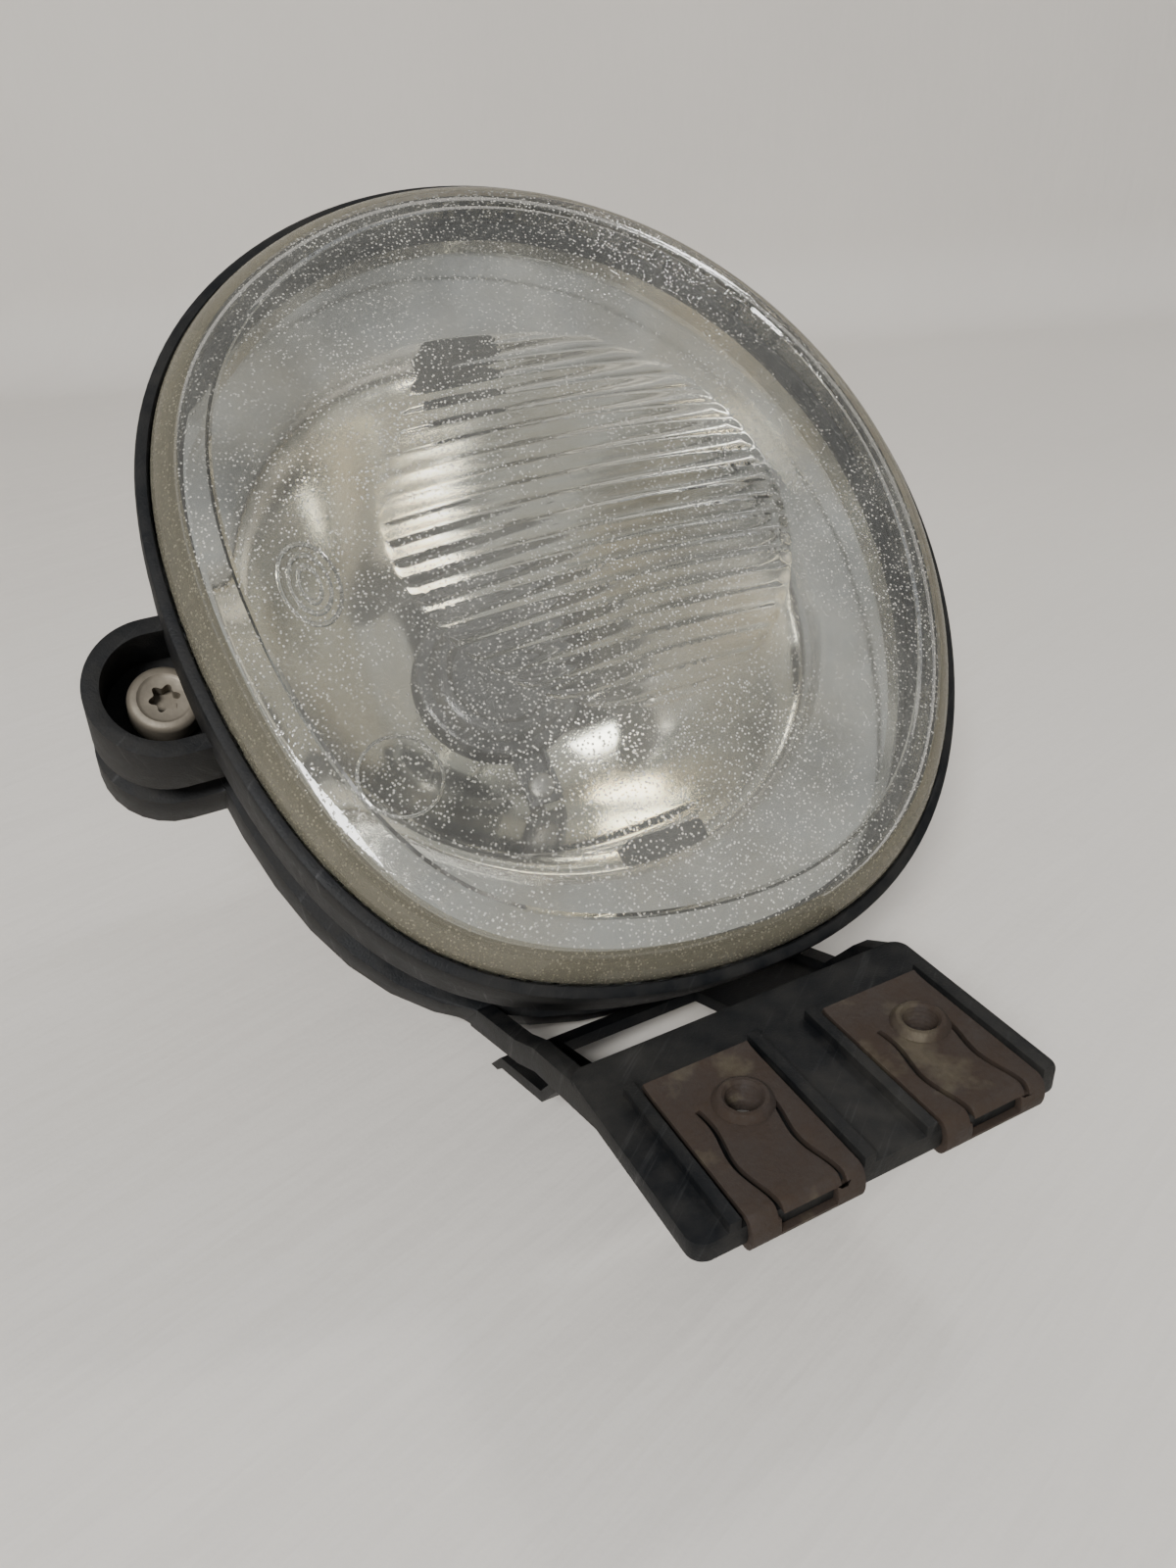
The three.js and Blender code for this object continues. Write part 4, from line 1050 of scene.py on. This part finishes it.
class FOGLIGHT_OT_spring_nuts(FogLightPiece, bpy.types.Operator):
    """Rusted sheet-metal nuts pushed over the plate's free edge"""

    bl_idname = "foglight.spring_nuts"
    bl_label = "Spring nuts"

    def leaf(self, middle):
        """The sheet, folded round the plate's edge from the top to the underside."""
        path = [(8.5, 1.25), (NUT_BACK, 0.95)]
        path.extend((NUT_BACK - 24.6 * k / FOLD_STEPS, SHEET_TOP) for k in range(1, FOLD_STEPS + 1))
        for k in range(1, FOLD_STEPS + 1):
            turn = math.radians(90 + 180 * k / FOLD_STEPS)
            out, up = 1.35 * math.cos(turn), 2.45 * math.sin(turn)
            path.append((NUT_FRONT + out, FOLD_MIDDLE + up))
        path.extend((NUT_FRONT + 22 * k / 8, SHEET_UNDER) for k in range(1, 9))
        path.extend([(5.8, -4.2), (6.6, -4.6)])
        bpy.ops.object.select_all(action="DESELECT")
        bpy.ops.mesh.primitive_grid_add(
            x_subdivisions=len(path) - 1, y_subdivisions=SHEET_ROWS, size=0.1
        )
        sheet = bpy.context.object
        places = []
        for j in range(SHEET_ROWS + 1):
            x = middle - NUT_WIDTH / 2 + NUT_WIDTH * j / SHEET_ROWS
            for y, z in path:
                places.extend((x * MM, y * MM, z * MM))
        sheet.data.vertices.foreach_set("co", places)
        modified(sheet, "SOLIDIFY", thickness=1.1 * MM, offset=0)
        return mended(sheet)

    def slit(self, middle):
        """A wavy slit beside the tongue, from the front edge to the middle of the leaf."""
        bpy.ops.object.select_all(action="DESELECT")
        bpy.ops.mesh.primitive_grid_add(x_subdivisions=SLIT_STEPS, y_subdivisions=1, size=0.1)
        strip = bpy.context.object
        places = []
        for z in (-0.2, 3):
            for k in range(SLIT_STEPS + 1):
                along = k / SLIT_STEPS
                x = middle + 0.75 * math.sin(9 * along) * (1 - 0.4 * along)
                places.extend((x * MM, (-21 + 21.5 * along) * MM, z * MM))
        strip.data.vertices.foreach_set("co", places)
        modified(strip, "SOLIDIFY", thickness=0.9 * MM, offset=0)
        return mended(strip)

    def nut(self, middle):
        """The leaf with its hole, notch and slits, and the threaded collar in the hole."""
        sheet = self.leaf(middle)
        x, y = middle + HOLE_ASIDE, HOLE_ALONG
        tools = [rod(4.6, (x, y, -8), (x, y, -2), 40)]
        tools.append(rod(3.9, (x, y, -2), (x, y, 4), 40))
        tools.append(block((middle - 4.4, -25, -2.6), (middle + 4.4, NUT_FRONT, 0.2)))
        tools.extend(self.slit(middle + side * SLIT_ASIDE) for side in (-1, 1))
        cut_by(sheet, *tools)
        rounded(sheet, 0.16 * MM, 2, 50)
        thread = [(4.0, -3.0), (4.0, 0.6), (4.5, 1.35), (4.1, 2.0), (3.6, 2.4), (3.0, 2.4)]
        for k in range(6):
            top = 2.0 - 0.8 * k
            thread.extend([(2.6, top), (3.1, top - 0.4)])
        thread.extend([(2.6, -3.0), (4.0, -3.0)])
        return grouped(sheet, turned(thread, (x, y), 48))

    def execute(self, context):
        material = rusty_steel("rusty_steel", self.colours)
        for side, middle in NUT_MIDDLES.items():
            nut = self.nut(middle)
            finished(nut, "nut_" + side, "bracket", "rusty_steel", material, "spring_nut_" + side)
        return {"FINISHED"}


class FOGLIGHT_OT_small_pieces(FogLightPiece, bpy.types.Operator):
    """Bulb, clip, contacts, leads, connector, cap, pivots and seals"""

    bl_idname = "foglight.small_pieces"
    bl_label = "Small pieces"

    def execute(self, context):
        steel = plain_metal("bright_steel", (0.66, 0.66, 0.65), 0.26)
        zinc = plain_metal("pin_zinc", (0.5, 0.48, 0.44), 0.42)
        brass = plain_metal("brass", (0.72, 0.58, 0.32), 0.3)
        nylon = plain_plastic("nylon", (0.66, 0.61, 0.50), 0.5)
        rubber = plain_plastic("rubber", (0.028, 0.028, 0.028), 0.8)
        plastic = black_plastic("cap_plastic", self.colours)
        blue = plain_plastic("blue_insulation", (0.05, 0.12, 0.33), 0.4)
        brown = plain_plastic("brown_insulation", (0.11, 0.055, 0.03), 0.4)
        quartz = clear_glass("quartz", 0)
        table = (
            ("breather_cap", "lamp", "rubber", rubber, 0.5),
            ("bulb_base", "lamp", "bright_steel", steel, 0.2),
            ("bulb_glass", "lamp", "bulb_glass", quartz, 0),
            ("bulb_filament", "lamp", "bright_steel", steel, 0),
            ("bulb_contact", "lamp", "brass", brass, 0.15),
            ("bulb_clip", "lamp", "bright_steel", steel, 0),
            ("clip_screw", "lamp", "zinc", zinc, 0.2),
            ("connector_socket", "lamp", "black_plastic", plastic, 0.3),
            ("terminal_supply", "lamp", "brass", brass, 0.15),
            ("terminal_earth", "lamp", "brass", brass, 0.15),
            ("lead_supply", "lamp", "blue_insulation", blue, 0),
            ("lead_earth", "lamp", "brown_insulation", brown, 0),
            ("rear_cap", "cap", "black_plastic", plastic, 0.4),
            ("cap_seal", "lamp", "rubber", rubber, 0),
            ("pivot_bush_upper", "lamp", "nylon", nylon, 0),
            ("pivot_bush_lower", "lamp", "nylon", nylon, 0),
            ("pivot_pin_upper", "bracket", "zinc", zinc, 0.3),
            ("pivot_pin_lower", "bracket", "zinc", zinc, 0.3),
            ("screw_washer", "screw", "zinc", zinc, 0.15),
            ("adjuster_nut", "ball_nut", "nylon", nylon, 0),
        )
        for node, body, slot, material, bevel in table:
            finished(copied(node, bevel), node + "_piece", body, slot, material, node)
        return {"FINISHED"}


SHEET_HALF_WIDTH = 2.0
FLOOR_FRONT, FLOOR_DEPTH = -1.4, 2.0
FLOOR_STEPS, SWEEP_STEPS, WALL_STEPS = 12, 8, 4
SWEEP = 0.06
WALL_HEIGHT = 1.2
SHEET_PLACE = (0.05, 0.1)
SHEET_TURN = math.radians(-22)
FLOOR_GAP = 0.0002
SKY_COLOUR = (0.93, 0.96, 1.0, 1)
LIGHT_TARGET = (0.01, 0.08, 0.03)
KEY_PLACE, KEY_SIZE = (0.85, 0.75, 0.95), (0.8, 0.6)
FILL_PLACE, FILL_SIZE = (-0.7, -0.75, 0.9), (0.35, 0.35)
CAMERA_PLACE = Vector((-80.5, -98.4, 121.2)) * MM
CAMERA_RIGHT = (0.88553, -0.46186, -0.05020)
CAMERA_UP = (0.27091, 0.42558, 0.86342)
CAMERA_BACK = (-0.37741, -0.77818, 0.50199)


class FOGLIGHT_OT_stage(FogLightPiece, bpy.types.Operator):
    """Pale floor and backdrop, soft lights and the camera"""

    bl_idname = "foglight.stage"
    bl_label = "Stage"

    def light(self, name, place, target, size, power):
        data = bpy.data.lights.new(name, "AREA")
        data.shape = "RECTANGLE"
        data.size, data.size_y = size
        data.energy = power
        lamp = bpy.data.objects.new(name, data)
        lamp.location = place
        lamp.rotation_euler = (Vector(target) - Vector(place)).to_track_quat("-Z", "Y").to_euler()
        bpy.context.scene.collection.objects.link(lamp)

    def sheet(self):
        """Paper that lies flat, sweeps up behind the lamp and stands as a wall."""
        bpy.ops.object.select_all(action="DESELECT")
        steps = FLOOR_STEPS + SWEEP_STEPS + WALL_STEPS
        bpy.ops.mesh.primitive_grid_add(x_subdivisions=1, y_subdivisions=steps, size=1)
        sheet = bpy.context.object
        corner = FLOOR_FRONT + FLOOR_DEPTH
        places = []
        for k in range(steps + 1):
            if k <= FLOOR_STEPS:
                y, z = FLOOR_FRONT + FLOOR_DEPTH * k / FLOOR_STEPS, 0
            elif k <= FLOOR_STEPS + SWEEP_STEPS:
                turn = math.radians(90 * (k - FLOOR_STEPS) / SWEEP_STEPS)
                y, z = corner + SWEEP * math.sin(turn), SWEEP * (1 - math.cos(turn))
            else:
                share = (k - FLOOR_STEPS - SWEEP_STEPS) / WALL_STEPS
                y, z = corner + SWEEP, SWEEP + WALL_HEIGHT * share
            for x in (-SHEET_HALF_WIDTH, SHEET_HALF_WIDTH):
                places.extend((x, y, z))
        sheet.data.vertices.foreach_set("co", places)
        alone(sheet)
        place = Matrix.Translation((*SHEET_PLACE, CAD_BOX[0].z - FLOOR_GAP))
        sheet.matrix_world = place @ Matrix.Rotation(SHEET_TURN, 4, "Z")
        bpy.ops.object.transform_apply(location=True, rotation=True, scale=True)
        return smooth(sheet, 60)

    def paper(self):
        finish = Finish("floor_paper", Specular_IOR_Level=0.25)
        tone = tuple(self.colours.floor)
        cloud = finish.noise(5, 4, 0.5)
        fibre = finish.noise(420, 3, 0.6)
        folds = finish.noise(7, 5, 0.55, finish.moved(rotation=(0, 0, 0.35), scale=(1, 0.16, 1)))
        relief = finish.bump(folds, 0.02, 0.12)
        return finish.set(
            Base_Color=finish.mix(cloud, tone, tuple(c * 0.88 for c in tone)),
            Roughness=0.55 + fibre * 0.2,
            Normal=finish.bump(fibre, 0.0002, 0.3, relief),
        )

    def camera(self, lens):
        data = bpy.data.cameras.new("camera")
        data.lens = lens
        data.clip_start = 0.01
        camera = bpy.data.objects.new("camera", data)
        turn = Matrix((CAMERA_RIGHT, CAMERA_UP, CAMERA_BACK)).transposed().to_4x4()
        camera.matrix_world = Matrix.Translation(CAMERA_PLACE) @ turn
        bpy.context.scene.collection.objects.link(camera)
        return camera

    def execute(self, context):
        stage = context.scene.fog_light_stage
        sheet = self.sheet()
        sheet.name = "floor"
        sheet.data.materials.append(self.paper())
        world = bpy.data.worlds.new("soft_sky")
        world.use_nodes = True
        sky = world.node_tree.nodes["Background"]
        sky.inputs["Color"].default_value = SKY_COLOUR
        sky.inputs["Strength"].default_value = stage.sky
        context.scene.world = world
        self.light("key", KEY_PLACE, LIGHT_TARGET, KEY_SIZE, stage.key)
        self.light("fill", FILL_PLACE, LIGHT_TARGET, FILL_SIZE, stage.fill)
        context.scene.camera = self.camera(stage.lens)
        return {"FINISHED"}


class FOGLIGHT_PT_panel(bpy.types.Panel):
    """Lists the pieces and their sizes"""

    bl_label = "Fog Light"
    bl_idname = "FOGLIGHT_PT_panel"
    bl_space_type = "VIEW_3D"
    bl_region_type = "UI"
    bl_category = "Fog Light"

    def draw(self, context):
        for group in (getattr(context.scene, name) for name in GROUPS):
            for name in group.__annotations__:
                self.layout.prop(group, name)
        for operator in OPERATORS:
            self.layout.operator(operator.bl_idname)


OPERATORS = (
    FOGLIGHT_OT_stage,
    FOGLIGHT_OT_lens,
    FOGLIGHT_OT_seal,
    FOGLIGHT_OT_reflector,
    FOGLIGHT_OT_shield,
    FOGLIGHT_OT_housing,
    FOGLIGHT_OT_aim_screw,
    FOGLIGHT_OT_bracket,
    FOGLIGHT_OT_spring_nuts,
    FOGLIGHT_OT_small_pieces,
)
GROUPS = {
    "fog_light_sizes": FogLightSizes,
    "fog_light_colours": FogLightColours,
    "fog_light_stage": FogLightStage,
}


def register():
    for cls in (*GROUPS.values(), *OPERATORS, FOGLIGHT_PT_panel):
        bpy.utils.register_class(cls)
    for name, group in GROUPS.items():
        setattr(bpy.types.Scene, name, PointerProperty(type=group))


def unregister():
    for name in GROUPS:
        delattr(bpy.types.Scene, name)
    for cls in reversed((*GROUPS.values(), *OPERATORS, FOGLIGHT_PT_panel)):
        bpy.utils.unregister_class(cls)


def main():
    register()
    for operator in OPERATORS:
        name = operator.bl_idname.split(".")[1]
        if getattr(bpy.ops.foglight, name)() != {"FINISHED"}:
            raise RuntimeError(f"{operator.bl_label} was not finished")


if __name__ == "__main__":
    main()
